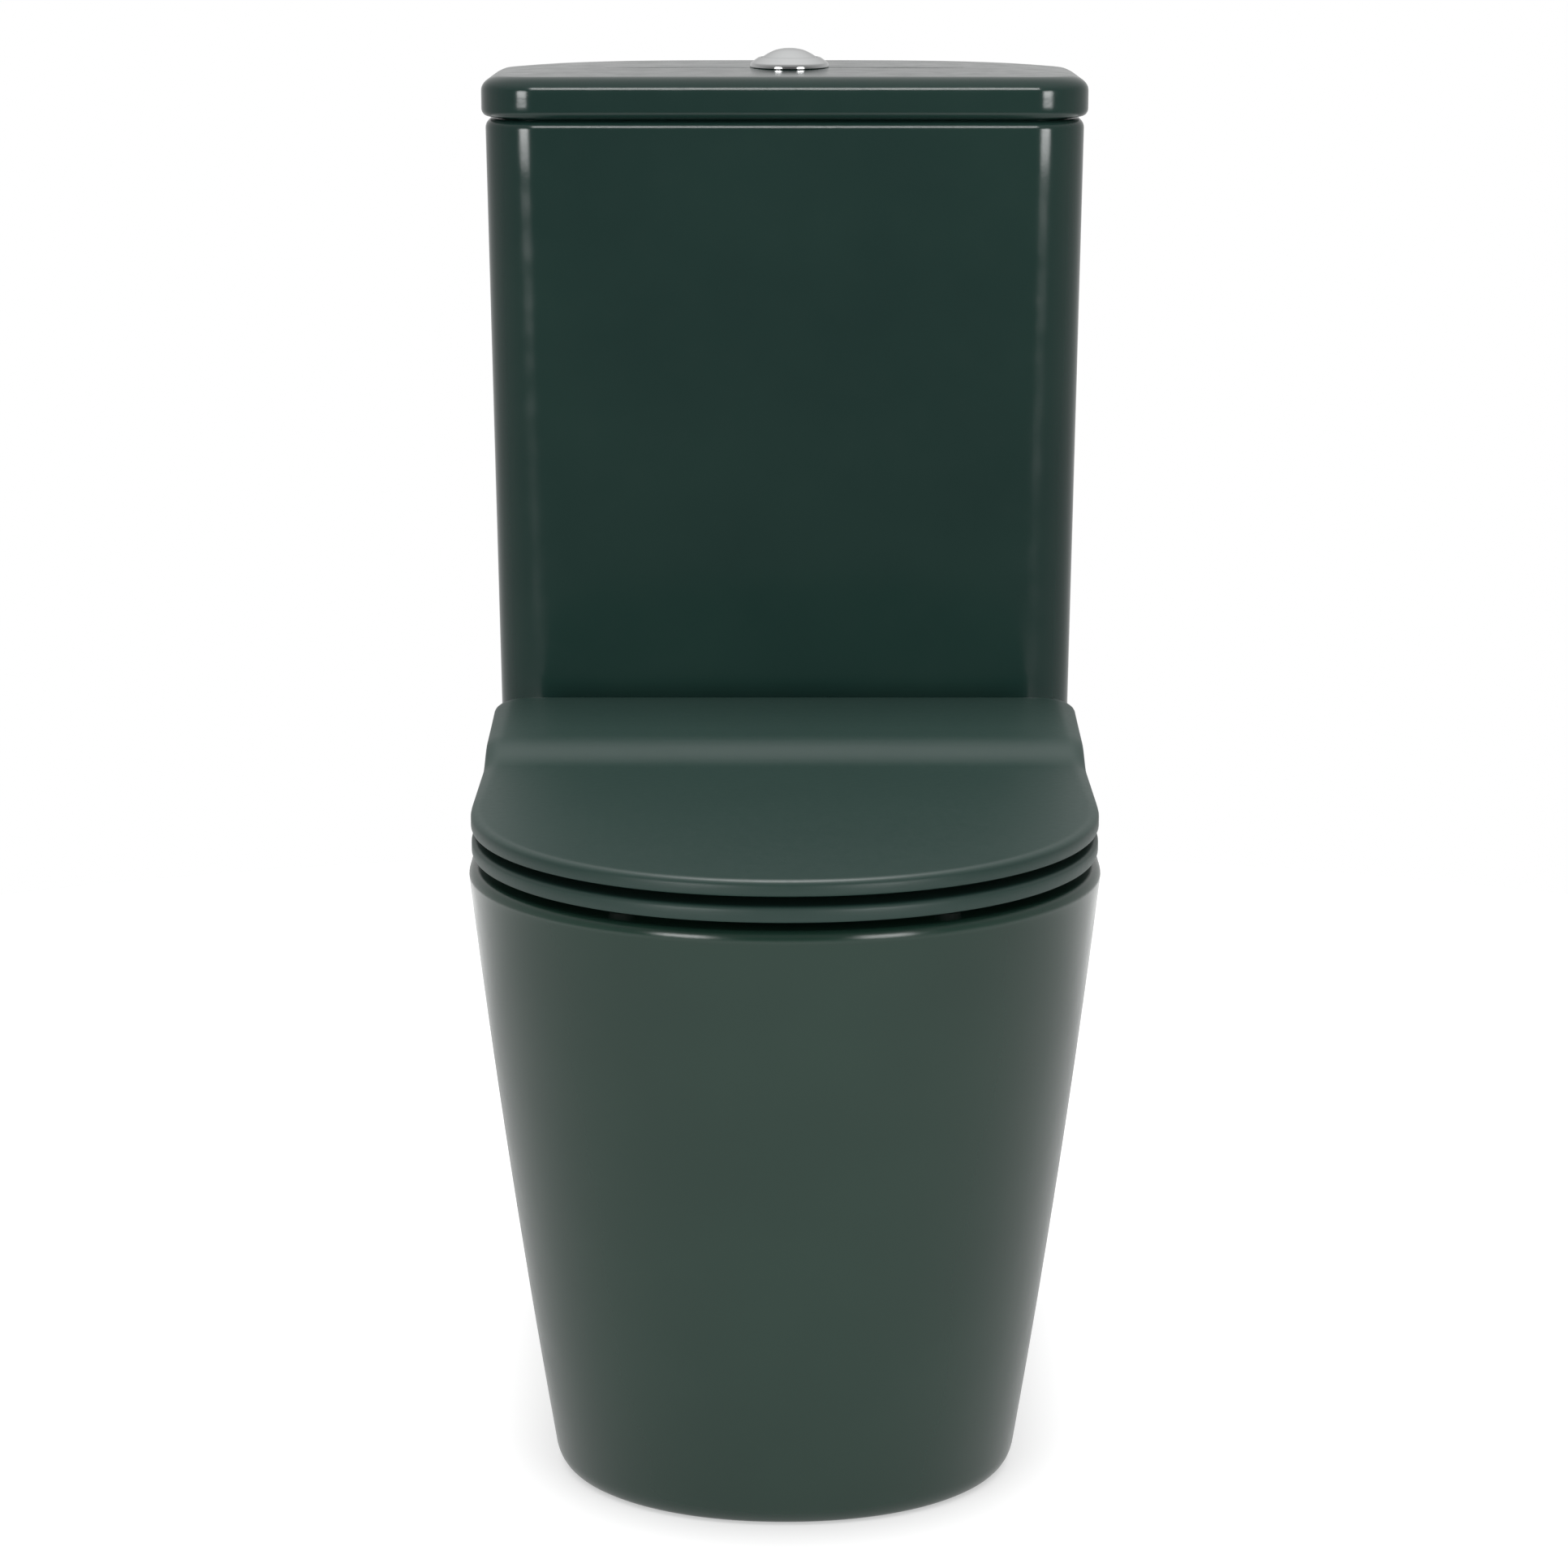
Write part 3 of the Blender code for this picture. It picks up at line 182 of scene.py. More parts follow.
def oval(half_width, half_length, centre_y, steps=OVAL_STEPS):
    return [oval_point(half_width, half_length, centre_y, 2 * math.pi * i / steps) for i in range(steps)]


def rounded_box(half, front_y, back_y, front_corner, back_corner, steps=20, spans=24):
    """A rectangle with different front and back corner radii, anticlockwise."""
    front_x, back_x = half - front_corner, half - back_corner
    return (arc(-back_x, back_y - back_corner, back_corner, 90, 180, steps // 2)
            + line((-half, back_y - back_corner), (-half, front_y + front_corner), 6)
            + arc(-front_x, front_y + front_corner, front_corner, 180, 270, steps)
            + line((-front_x, front_y), (front_x, front_y), spans)
            + arc(front_x, front_y + front_corner, front_corner, 270, 360, steps)
            + line((half, front_y + front_corner), (half, back_y - back_corner), 6)
            + arc(back_x, back_y - back_corner, back_corner, 0, 90, steps // 2)
            + line((back_x, back_y), (-back_x, back_y), spans))


def lift(outline, z):
    return [(x, y, z) for x, y in outline]


def smooth_path(points, per_span):
    """Points on a Catmull-Rom curve through a list of points of any dimension."""
    def mirrored(end, beside):
        return tuple(2 * a - b for a, b in zip(end, beside))

    route = [mirrored(points[0], points[1]), *points, mirrored(points[-1], points[-2])]
    result = []
    for a, b, c, d in zip(route, route[1:], route[2:], route[3:]):
        for k in range(per_span):
            t = k / per_span
            result.append(tuple(0.5 * (2 * q + (r - p) * t + (2 * p - 5 * q + 4 * r - s) * t * t
                                       + (3 * q - p - 3 * r + s) * t ** 3) for p, q, r, s in zip(a, b, c, d)))
    return result + [tuple(points[-1])]


# ---------------------------------------------------------------- meshes
def finish_mesh(bm, name):
    bmesh.ops.recalc_face_normals(bm, faces=bm.faces)
    mesh = bpy.data.meshes.new(name)
    bm.to_mesh(mesh)
    bm.free()
    mesh.shade_smooth()
    mesh.set_sharp_from_angle(angle=math.radians(SHARP_DEGREES))
    return mesh


def loft(name, rings, closed_ring=False):
    """A closed skin through rings of equal count. closed_ring joins the last ring to the first."""
    bm = bmesh.new()
    rows = [[bm.verts.new(p) for p in ring] for ring in rings]
    count = len(rows[0])
    pairs = list(zip(rows, rows[1:]))
    if closed_ring:
        pairs.append((rows[-1], rows[0]))
    for low, high in pairs:
        for i in range(count):
            j = (i + 1) % count
            bm.faces.new((low[i], low[j], high[j], high[i]))
    if not closed_ring:
        bm.faces.new(list(reversed(rows[0])))
        bm.faces.new(rows[-1])
    return finish_mesh(bm, name)


def solid(name, mesh):
    obj = bpy.data.objects.new(name, mesh)
    bpy.context.scene.collection.objects.link(obj)
    return obj


def turned_mesh(name, profile, centre, steps=TURN_STEPS):
    """A turned piece from (radius, z) points; points on the axis close it, else the profile is a ring."""
    bm = bmesh.new()
    rows = []
    for radius, z in profile:
        if radius < 1e-7:
            rows.append([bm.verts.new((centre[0], centre[1], z))] * steps)
        else:
            rows.append([bm.verts.new((centre[0] + radius * math.cos(2 * math.pi * i / steps),
                                       centre[1] + radius * math.sin(2 * math.pi * i / steps), z))
                         for i in range(steps)])
    pairs = list(zip(rows, rows[1:]))
    if profile[0][0] > 0 and profile[-1][0] > 0:
        pairs.append((rows[-1], rows[0]))
    for low, high in pairs:
        for i in range(steps):
            j = (i + 1) % steps
            corners = []
            for vert in (low[i], low[j], high[j], high[i]):
                if vert not in corners:
                    corners.append(vert)
            if len(corners) > 2:
                bm.faces.new(corners)
    return finish_mesh(bm, name)


def cylinder_mesh(name, start, end, radius, steps=48, end_radius=None):
    start, end = Vector(start), Vector(end)
    axis = end - start
    turn = Vector((0, 0, 1)).rotation_difference(axis.normalized()).to_matrix().to_4x4()
    bm = bmesh.new()
    bmesh.ops.create_cone(bm, cap_ends=True, segments=steps, radius1=radius,
                          radius2=radius if end_radius is None else end_radius, depth=axis.length,
                          matrix=Matrix.Translation((start + end) / 2) @ turn)
    return finish_mesh(bm, name)


def box_mesh(name, low, high, rounding=0.0):
    bm = bmesh.new()
    bmesh.ops.create_cube(bm, size=1.0)
    bmesh.ops.scale(bm, vec=Vector(high) - Vector(low), verts=bm.verts)
    bmesh.ops.translate(bm, vec=(Vector(high) + Vector(low)) / 2, verts=bm.verts)
    if rounding:
        bmesh.ops.bevel(bm, geom=list(bm.edges), offset=rounding, segments=4, profile=0.5, affect="EDGES")
    return finish_mesh(bm, name)


def tube_mesh(name, points, radius, resolution):
    """A round tube with welded caps along a polyline."""
    curve = bpy.data.curves.new(name, "CURVE")
    curve.dimensions = "3D"
    curve.bevel_depth = radius
    curve.bevel_resolution = resolution
    curve.use_fill_caps = True
    spline = curve.splines.new("POLY")
    spline.points.add(len(points) - 1)
    for slot, point in zip(spline.points, points):
        slot.co = (*point, 1.0)
    holder = solid(name + "_route", curve)
    bpy.context.view_layer.update()
    shaped = holder.evaluated_get(bpy.context.evaluated_depsgraph_get())
    bm = bmesh.new()
    bm.from_mesh(bpy.data.meshes.new_from_object(shaped))
    bmesh.ops.remove_doubles(bm, verts=bm.verts, dist=0.00001)
    bpy.data.objects.remove(holder, do_unlink=True)
    return finish_mesh(bm, name)


def combine(obj, joined=(), removed=()):
    """Joins and cuts a piece with other meshes, and keeps the result as its own mesh."""
    tools = []
    for operation, meshes in (("UNION", joined), ("DIFFERENCE", removed)):
        for mesh in meshes:
            tool = solid("tool", mesh)
            tools.append(tool)
            modifier = obj.modifiers.new("shape", "BOOLEAN")
            modifier.operation = operation
            modifier.solver = "EXACT"
            modifier.object = tool
    bpy.context.view_layer.update()
    shaped = obj.evaluated_get(bpy.context.evaluated_depsgraph_get())
    mesh = bpy.data.meshes.new_from_object(shaped)
    obj.modifiers.clear()
    obj.data = mesh
    mesh.shade_smooth()
    mesh.set_sharp_from_angle(angle=math.radians(SHARP_DEGREES))
    for tool in tools:
        bpy.data.objects.remove(tool, do_unlink=True)
    return obj


def rounded_rings(width, height, steps):
    """Inset and rise round a quarter of an ellipse, from the upright side to the flat top."""
    angles = [math.pi / 2 * i / steps for i in range(steps + 1)]
    return [(width * (1 - math.cos(a)), height * math.sin(a)) for a in angles]


def thread(radius, depth, low, high, pitch):
    """The outline of a screw thread from its top down, as (radius, z) points."""
    turns = round((high - low) / pitch)
    points = []
    for i in range(turns):
        z = high - i * pitch
        points += [(radius - depth, z), (radius, z - 0.35 * pitch), (radius, z - 0.5 * pitch)]
    return points + [(radius - depth, low)]


# ---------------------------------------------------------------- materials
def new_material(name):
    """A material with its nodes, its links and the sockets of its shader."""
    material = bpy.data.materials.new(name)
    material.use_nodes = True
    nodes = material.node_tree.nodes
    return material, nodes, material.node_tree.links, nodes["Principled BSDF"].inputs


def noise(nodes, links, scale, detail=3.0, stretch=None):
    """Noise in the object's own space, metres times scale."""
    place = nodes.new("ShaderNodeTexCoord")
    texture = nodes.new("ShaderNodeTexNoise")
    texture.inputs["Scale"].default_value = scale
    texture.inputs["Detail"].default_value = detail
    if stretch is None:
        links.new(place.outputs["Object"], texture.inputs["Vector"])
    else:
        mapping = nodes.new("ShaderNodeMapping")
        mapping.inputs["Scale"].default_value = stretch
        links.new(place.outputs["Object"], mapping.inputs["Vector"])
        links.new(mapping.outputs["Vector"], texture.inputs["Vector"])
    return texture.outputs["Fac"]


def ranged(nodes, links, value, source, target):
    """A value mapped from one range to another, and held at the ends."""
    ramp = nodes.new("ShaderNodeMapRange")
    for name, number in zip(("From Min", "From Max", "To Min", "To Max"), source + target):
        ramp.inputs[name].default_value = number
    links.new(value, ramp.inputs["Value"])
    return ramp.outputs["Result"]


def math_node(nodes, links, operation, first, second=None):
    node = nodes.new("ShaderNodeMath")
    node.operation = operation
    links.new(first, node.inputs[0])
    if isinstance(second, float):
        node.inputs[1].default_value = second
    elif second is not None:
        links.new(second, node.inputs[1])
    return node.outputs["Value"]


def spread(nodes, links, value, low, high):
    """The middle of a noise's range mapped to low..high."""
    return ranged(nodes, links, value, (0.3, 0.7), (low, high))


def blend_colours(nodes, links, factor, first, second):
    mix = nodes.new("ShaderNodeMix")
    mix.data_type = "RGBA"
    mix.inputs["A"].default_value = (*first, 1.0)
    mix.inputs["B"].default_value = (*second, 1.0)
    links.new(factor, mix.inputs["Factor"])
    return mix.outputs["Result"]


def bumps(nodes, links, layers, rounding=0.0):
    """Stacked bump layers of (height, distance in metres), on edges softened by rounding."""
    normal = None
    if rounding:
        soft = nodes.new("ShaderNodeBevel")
        soft.samples = 4
        soft.inputs["Radius"].default_value = rounding
        normal = soft.outputs["Normal"]
    for height, distance in layers:
        bump = nodes.new("ShaderNodeBump")
        bump.inputs["Strength"].default_value = 1.0
        bump.inputs["Distance"].default_value = distance
        links.new(height, bump.inputs["Height"])
        if normal is not None:
            links.new(normal, bump.inputs["Normal"])
        normal = bump.outputs["Normal"]
    return normal


def glazed_china(name, first, second, roughness, rounding):
    """Dark green glaze: slightly uneven in depth of colour, gloss and level."""
    material, nodes, links, sockets = new_material(name)
    sockets["IOR"].default_value = 1.52
    cloud = noise(nodes, links, 9.0, 2.0)
    colour = blend_colours(nodes, links, spread(nodes, links, cloud, 0.0, 1.0), first, second)
    links.new(colour, sockets["Base Color"])
    gloss = noise(nodes, links, 60.0, 4.0)
    links.new(spread(nodes, links, gloss, roughness - 0.025, roughness + 0.035), sockets["Roughness"])
    wave = noise(nodes, links, 14.0, 1.0)
    peel = noise(nodes, links, 420.0, 1.0)
    links.new(bumps(nodes, links, [(wave, 0.00030), (peel, 0.000012)], rounding), sockets["Normal"])
    return material


def duroplast(name):
    """Pressed dark green duroplast with a satin skin."""
    material, nodes, links, sockets = new_material(name)
    cloud = noise(nodes, links, 12.0, 2.0)
    colour = blend_colours(nodes, links, spread(nodes, links, cloud, 0.0, 1.0),
                           (0.0128, 0.0390, 0.0313), (0.0140, 0.0410, 0.0328))
    links.new(colour, sockets["Base Color"])
    gloss = noise(nodes, links, 260.0, 2.0)
    links.new(spread(nodes, links, gloss, 0.42, 0.45), sockets["Roughness"])
    grain = noise(nodes, links, 1400.0, 2.0)
    links.new(bumps(nodes, links, [(grain, 0.000008)]), sockets["Normal"])
    return material


def chrome_plate(name):
    """Bright chrome with the faint haze and wiping marks of use."""
    material, nodes, links, sockets = new_material(name)
    sockets["Metallic"].default_value = 1.0
    haze = noise(nodes, links, 40.0, 3.0)
    colour = blend_colours(nodes, links, haze, (0.61, 0.62, 0.62), (0.68, 0.69, 0.69))
    links.new(colour, sockets["Base Color"])
    links.new(spread(nodes, links, haze, 0.05, 0.11), sockets["Roughness"])
    wipe = noise(nodes, links, 160.0, 2.0, (1.0, 0.15, 1.0))
    links.new(bumps(nodes, links, [(wipe, 0.000006)]), sockets["Normal"])
    return material


def plain_metal(name, first, second, roughness, stretch):
    """Drawn or turned metal, with its marks stretched one way."""
    material, nodes, links, sockets = new_material(name)
    sockets["Metallic"].default_value = 1.0
    marks = noise(nodes, links, 700.0, 3.0, stretch)
    stain = noise(nodes, links, 45.0, 3.0)
    links.new(blend_colours(nodes, links, stain, first, second), sockets["Base Color"])
    links.new(spread(nodes, links, marks, roughness - 0.08, roughness + 0.10), sockets["Roughness"])
    links.new(bumps(nodes, links, [(marks, 0.00002)]), sockets["Normal"])
    return material


def moulded(name, first, second, roughness, rounding=0.0004):
    """Moulded plastic or rubber: cloudy colour, a fine tool-marked skin, softened edges."""
    material, nodes, links, sockets = new_material(name)
    cloud = noise(nodes, links, 55.0, 3.0)
    links.new(blend_colours(nodes, links, cloud, first, second), sockets["Base Color"])
    links.new(spread(nodes, links, cloud, roughness - 0.06, roughness + 0.06), sockets["Roughness"])
    skin = noise(nodes, links, 1800.0, 2.0)
    links.new(bumps(nodes, links, [(skin, 0.00001)], rounding), sockets["Normal"])
    return material


PAN_GLAZE = glazed_china("pan_glaze", (0.0104, 0.0328, 0.0230), (0.0127, 0.0372, 0.0261), 0.16, 0.0025)
TANK_GLAZE = glazed_china("tank_glaze", (0.0090, 0.0262, 0.0220), (0.0112, 0.0304, 0.0250), 0.14, 0.0015)
SEAT_SKIN = duroplast("seat_duroplast")
CHROME = chrome_plate("chrome_plate")
STEEL = plain_metal("stainless_steel", (0.56, 0.56, 0.55), (0.66, 0.66, 0.64), 0.34, (1.0, 1.0, 8.0))
BRASS = plain_metal("turned_brass", (0.66, 0.47, 0.20), (0.76, 0.58, 0.29), 0.36, (1.0, 1.0, 8.0))
BLACK_RUBBER = moulded("black_rubber", (0.018, 0.018, 0.018), (0.034, 0.034, 0.033), 0.72)
GREY_RUBBER = moulded("grey_rubber", (0.026, 0.028, 0.027), (0.040, 0.042, 0.041), 0.62)
WHITE_PLASTIC = moulded("white_plastic", (0.74, 0.74, 0.71), (0.83, 0.83, 0.80), 0.38)
BLUE_PLASTIC = moulded("blue_plastic", (0.06, 0.18, 0.46), (0.10, 0.25, 0.55), 0.38)

BODY_OF = {node: body for body, nodes in frame["record"]["behaviour"]["bodies"].items() for node in nodes}
SLOT_OF = {part["node"]: part["material_slot"] for part in frame["record"]["subparts"]}


def piece(node, mesh, material, joined=(), removed=(), hollow=()):
    """A fine mesh that stands for a node of the model and moves with its body. hollow is cut out first."""
    obj = solid("fine_" + node, mesh)
    if hollow:
        combine(obj, removed=hollow)
    if joined or removed:
        combine(obj, joined, removed)
    obj.data.materials.clear()
    obj.data.materials.append(material)
    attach(obj, BODY_OF[node])
    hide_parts(node)
    return obj


# ---------------------------------------------------------------- pan
def pan_section(z, inset, back_y):
    t = 1.0 - z / RIM_Z
    half = RIM_HALF - SIDE_TAPER[0] * t - SIDE_TAPER[1] * t * t - inset
    nose = RIM_NOSE_Y + NOSE_TAPER[0] * t + NOSE_TAPER[1] * t * t + inset
    widest = FOOT_WIDEST_Y + (RIM_WIDEST_Y - FOOT_WIDEST_Y) * z / RIM_Z
    return lift(d_outline(half, nose, widest, back_y, PAN_BACK_CORNER), z)


def make_pan():
    foot = [(FOOT_ROUND[1] - rise, inset) for inset, rise in reversed(rounded_rings(*FOOT_ROUND, 6))]
    foot = [(0.0, foot[0][1] + 0.001)] + [(max(z, 0.0), inset) for z, inset in foot[1:]]
    sides = [(0.02 + 0.363 * i / 14, 0.0) for i in range(15)]
    rim = [(RIM_Z - RIM_ROUND[1] + rise, inset) for inset, rise in rounded_rings(*RIM_ROUND, 8)]
    skin = loft("pan", [pan_section(z, inset, WALL_Y) for z, inset in foot + sides + rim])

    hollow_rings = []
    for i in range(13):
        z = DECK_UNDER_Z * i / 12
        thickness = SHELL + (FOOT_SHELL - SHELL) * (1.0 - z / DECK_UNDER_Z)
        hollow_rings.append(pan_section(z, thickness, WALL_Y + 0.03))
    hollow_rings.insert(0, [(x, y, -0.01) for x, y, z in hollow_rings[0]])
    hollow = loft("skirt_hollow", hollow_rings)

    # bowl: height, half-width, half-length and centre at each level
    bowl = [(0.112, 0.034, 0.040, -0.055), (0.135, 0.044, 0.052, -0.056), (0.180, 0.058, 0.070, -0.064),
            (0.235, 0.085, 0.100, -0.082), (0.300, 0.118, 0.132, -0.100), (0.385, 0.139, 0.153, -0.108)]
    fine = smooth_path(bowl, 5)
    outer = [lift(oval(0.030, 0.036, -0.055, 96), 0.102)]
    outer += [lift(oval(a + SHELL, b + SHELL, c, 96), z) for z, a, b, c in fine[1:] if z < 0.380]
    outer.append(lift(oval(0.138 + SHELL, 0.152 + SHELL, -0.108, 96), 0.388))
    z_top, a_top, b_top, c_top = bowl[-1]
    inner = [lift(oval(a, b, c), z) for z, a, b, c in fine]
    lip = RIM_Z - z_top
    for inset, rise in rounded_rings(BOWL_LIP_WIDTH, lip, 8)[1:]:
        inner.append(lift(oval(a_top + inset, b_top + inset, c_top), z_top + rise))
    inner.append(lift(oval(a_top + BOWL_LIP_WIDTH, b_top + BOWL_LIP_WIDTH, c_top), RIM_Z + 0.02))

    route = smooth_path([(0, -0.060, 0.160), (0, -0.018, 0.135), (0, 0.028, 0.142), (0, 0.066, 0.186),
                         (0, 0.100, 0.230), (0, 0.141, 0.238), (0, 0.178, 0.207), (0, 0.228, 0.180)], 6)
    joined = [loft("bowl_outside", outer), tube_mesh("trap_outside", route, 0.038, 10),
              cylinder_mesh("spigot", (0, 0.206, OUTLET_Z), (0, 0.285, OUTLET_Z), OUTLET_R, 72),
              box_mesh("chamber", (-0.048, 0.020, 0.312), (0.048, 0.280, 0.386), 0.008)]
    removed = [loft("bowl_inside", inner), tube_mesh("trap_inside", route, 0.0275, 8),
               cylinder_mesh("spigot_bore", (0, 0.222, OUTLET_Z), (0, 0.300, OUTLET_Z), 0.042, 72),
               box_mesh("chamber_hollow", (-0.039, 0.080, 0.321), (0.039, 0.271, 0.377), 0.005),
               box_mesh("slot", (-0.033, -0.010, 0.338), (0.033, 0.086, 0.362), 0.006),
               cylinder_mesh("inlet", (0, FLUSH_Y, 0.370), (0, FLUSH_Y, 0.410), 0.035),
               cylinder_mesh("fill_access", (FILL_X, FILL_Y, 0.370), (FILL_X, FILL_Y, 0.405), 0.022)]
    for side in (-1, 1):
        for x, y, radius in ((HINGE_X, HINGE_Y, 0.0075), (BOLT_X, FLUSH_Y, BOLT_HOLE_R)):
            removed.append(cylinder_mesh("hole", (side * x, y, 0.372), (side * x, y, 0.405), radius, 32))
        low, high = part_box("side_screw_left" if side < 0 else "side_screw_right")
        centre = (low + high) / 2
        outwards = Vector((side, 0, -0.145)).normalized()
        removed.append(cylinder_mesh("side_hole", centre - 0.04 * outwards, centre + 0.04 * outwards,
                                     0.0040, 32))
    piece("pan", skin, PAN_GLAZE, joined, removed, [hollow])


# ---------------------------------------------------------------- cistern
def tank_section(z, inset, wall=0.0):
    t = (z - TANK_LOW.z) / (TANK_HIGH.z - TANK_LOW.z)
    half = TANK_HALF[0] + (TANK_HALF[1] - TANK_HALF[0]) * t - inset - wall
    front = TANK_FRONT_Y[0] + (TANK_FRONT_Y[1] - TANK_FRONT_Y[0]) * t + inset + wall
    back = TANK_HIGH.y - min(inset, 0.004) - wall
    corner = (TANK_INNER_CORNER if wall else TANK_CORNER) - inset
    return lift(rounded_box(half, front, back, corner, max(TANK_BACK_CORNER - wall, 0.006)), z)


def make_cistern():
    low, high = TANK_LOW.z, TANK_HIGH.z
    floor_edge, lip_edge = TANK_FLOOR_Z + TANK_FLOOR_ROUND[1], high - TANK_INNER_LIP[1]
    inside = [tank_section(TANK_FLOOR_Z, 0.030, TANK_WALL)]
    inside += [tank_section(floor_edge - rise, inset, TANK_WALL)
               for inset, rise in reversed(rounded_rings(*TANK_FLOOR_ROUND, 5))]
    inside += [tank_section(floor_edge + (lip_edge - floor_edge) * i / 6, 0.0, TANK_WALL)
               for i in range(1, 7)]
    inner_lip = [tank_section(lip_edge + rise, -inset, TANK_WALL)
                 for inset, rise in rounded_rings(*TANK_INNER_LIP, 4)[1:]]
    side_top, side_foot = high - TANK_LIP[1], low + TANK_FOOT_ROUND[1]
    outer_lip = [tank_section(side_top + rise, inset)
                 for inset, rise in reversed(rounded_rings(*TANK_LIP, 8))]
    sides = [tank_section(side_top - (side_top - side_foot) * i / 12, 0.0) for i in range(1, 13)]
    bottom = [tank_section(side_foot - rise, inset)
              for inset, rise in rounded_rings(*TANK_FOOT_ROUND, 8)[1:]]
    centre = (0, FLUSH_Y)
    removed = [cylinder_mesh("recess", (*centre, 0.395), (*centre, 0.4115), 0.058, 72),
               cylinder_mesh("valve_hole", (*centre, 0.400), (*centre, 0.430), 0.0325, 72),
               cylinder_mesh("fill_hole", (FILL_X, FILL_Y, 0.395), (FILL_X, FILL_Y, 0.430), 0.0120)]
    for x in (-BOLT_X, BOLT_X):
        removed.append(cylinder_mesh("bolt_hole", (x, FLUSH_Y, 0.395), (x, FLUSH_Y, 0.430), BOLT_HOLE_R))
    shell = loft("cistern", inside + inner_lip + outer_lip + sides + bottom)
    piece("cistern", shell, TANK_GLAZE, removed=removed)


def cover_lift(x, y):
    """How far the cistern lid's top stands above its front edge: it rises to the middle of the back."""
    back = (y - COVER_LOW.y) / (COVER_HIGH.y - COVER_LOW.y)
    return back * (COVER_RISE - COVER_FALL * abs(x / COVER_HALF) ** 4)


def make_cistern_lid():
    def section(inset, z, lifted=0.0):
        outline = rounded_box(COVER_HALF - inset, COVER_LOW.y + inset, COVER_HIGH.y - inset,
                              max(COVER_CORNER - inset, 0.004), max(COVER_BACK_CORNER - inset, 0.004))
        return [(x, y, z + lifted * cover_lift(x, y)) for x, y in outline]

    under, top = COVER_UNDER_Z, COVER_TOP_Z
    rings = [section(inset, z) for inset, z in
             ((0.0500, 0.8262), (0.0240, 0.8262), (0.0210, 0.8250), (0.0200, 0.8220), (0.0190, 0.8045),
              (0.0184, 0.8034), (0.0175, 0.8030), (0.0160, 0.8030), (0.0152, 0.8035), (0.0148, 0.8050),
              (0.0145, under - 0.0006), (0.0137, under))]
    edge_foot, edge_top = under + COVER_LIP[1], top - COVER_ROUND[1]
    rings += [section(inset, edge_foot - rise) for inset, rise in reversed(rounded_rings(*COVER_LIP, 6))]
    rings += [section(0.0, edge_foot + (edge_top - edge_foot) * i / 4) for i in range(1, 5)]
    for inset, rise in rounded_rings(*COVER_ROUND, 12)[1:]:
        rings.append(section(inset, edge_top + rise, min(1.0, rise / 0.0085)))
    rings += [section(inset, top + 0.0004 * (inset - COVER_ROUND[0]) / 0.058, 1.0)
              for inset in (0.016, 0.022, 0.030, 0.040, 0.050, 0.060, 0.070, 0.076, 0.079)]
    centre = (BUTTON_X, FLUSH_Y)
    removed = [cylinder_mesh("button_hole", (*centre, 0.81), (*centre, 0.85), 0.0225, 72),
               cylinder_mesh("button_seat", (*centre, top + COVER_CROWN), (*centre, 0.85), 0.0262, 72)]
    piece("cistern_lid", loft("cistern_lid", rings), TANK_GLAZE, removed=removed)


# ---------------------------------------------------------------- push button
def make_button():
    centre = (BUTTON_X, FLUSH_Y)
    base, shoulder, rim = BEZEL_LOW.z, BEZEL_HIGH.z, (BEZEL_HIGH.x - BEZEL_LOW.x) / 2
    foot = COVER_TOP_Z + COVER_CROWN + 0.0003
    bore = 0.0183
    face = smooth_path([(bore + 0.0004, shoulder), (0.0200, shoulder - 0.0003), (0.0230, foot + 0.0043),
                        (0.0247, foot + 0.0031), (rim - 0.0002, foot + 0.0019)], 6)
    profile = ([(bore, shoulder - 0.0004)] + face + [(rim, foot + 0.0012), (rim, foot + 0.0004),
               (rim - 0.0004, foot), (0.0200, foot), (0.0197, foot - 0.0004)]
               + thread(0.0198, 0.0007, base + 0.001, foot - 0.001, 0.0020)
               + [(0.0190, base), (0.0, base), (0.0, 0.8145), (bore, 0.8145)])
    guides = [cylinder_mesh("rod_guide", (0.005, y, 0.805), (0.005, y, 0.820), 0.0032, 32)
              for y in (FLUSH_Y - 0.0125, FLUSH_Y + 0.0125)]
    piece("button_bezel", turned_mesh("button_bezel", profile, centre, 128), CHROME, removed=guides)

    dome = smooth_path([(0.0, shoulder + 0.0056), (0.0040, shoulder + 0.00545), (0.0090, shoulder + 0.0044),
                        (0.0135, shoulder + 0.0024), (0.0168, shoulder + 0.0004)], 8)
    dome += [(0.0174, shoulder - 0.0001), (0.0178, shoulder - 0.0008), (0.0178, 0.8354), (0.0175, 0.8350),
             (0.0, 0.8350)]
    for side, name in ((-1, "half_flush_button"), (1, "full_flush_button")):
        edge = FLUSH_Y + side * BUTTON_HALF_GAP
        low, high = sorted((edge, edge - side * 0.03))
        cutter = box_mesh("split", (-0.03, low, 0.82), (0.04, high, 0.86))
        piece(name, turned_mesh(name, dome, centre, 128), CHROME, removed=[cutter])

    for name in ("half_flush_spring", "full_flush_spring"):
        low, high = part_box(name)
        x, y = (low.x + high.x) / 2, (low.y + high.y) / 2
        bottom, rise = low.z + SPRING_WIRE_R, high.z - low.z - 2 * SPRING_WIRE_R
        steps = SPRING_STEPS * SPRING_TURNS
        coil = [(x + SPRING_R * math.cos(a), y + SPRING_R * math.sin(a), bottom + rise * i / steps)
                for i, a in ((i, 2 * math.pi * i / SPRING_STEPS) for i in range(steps + 1))]
        spring = piece(name, tube_mesh(name, coil, SPRING_WIRE_R, 3), STEEL)
        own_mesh(spring)


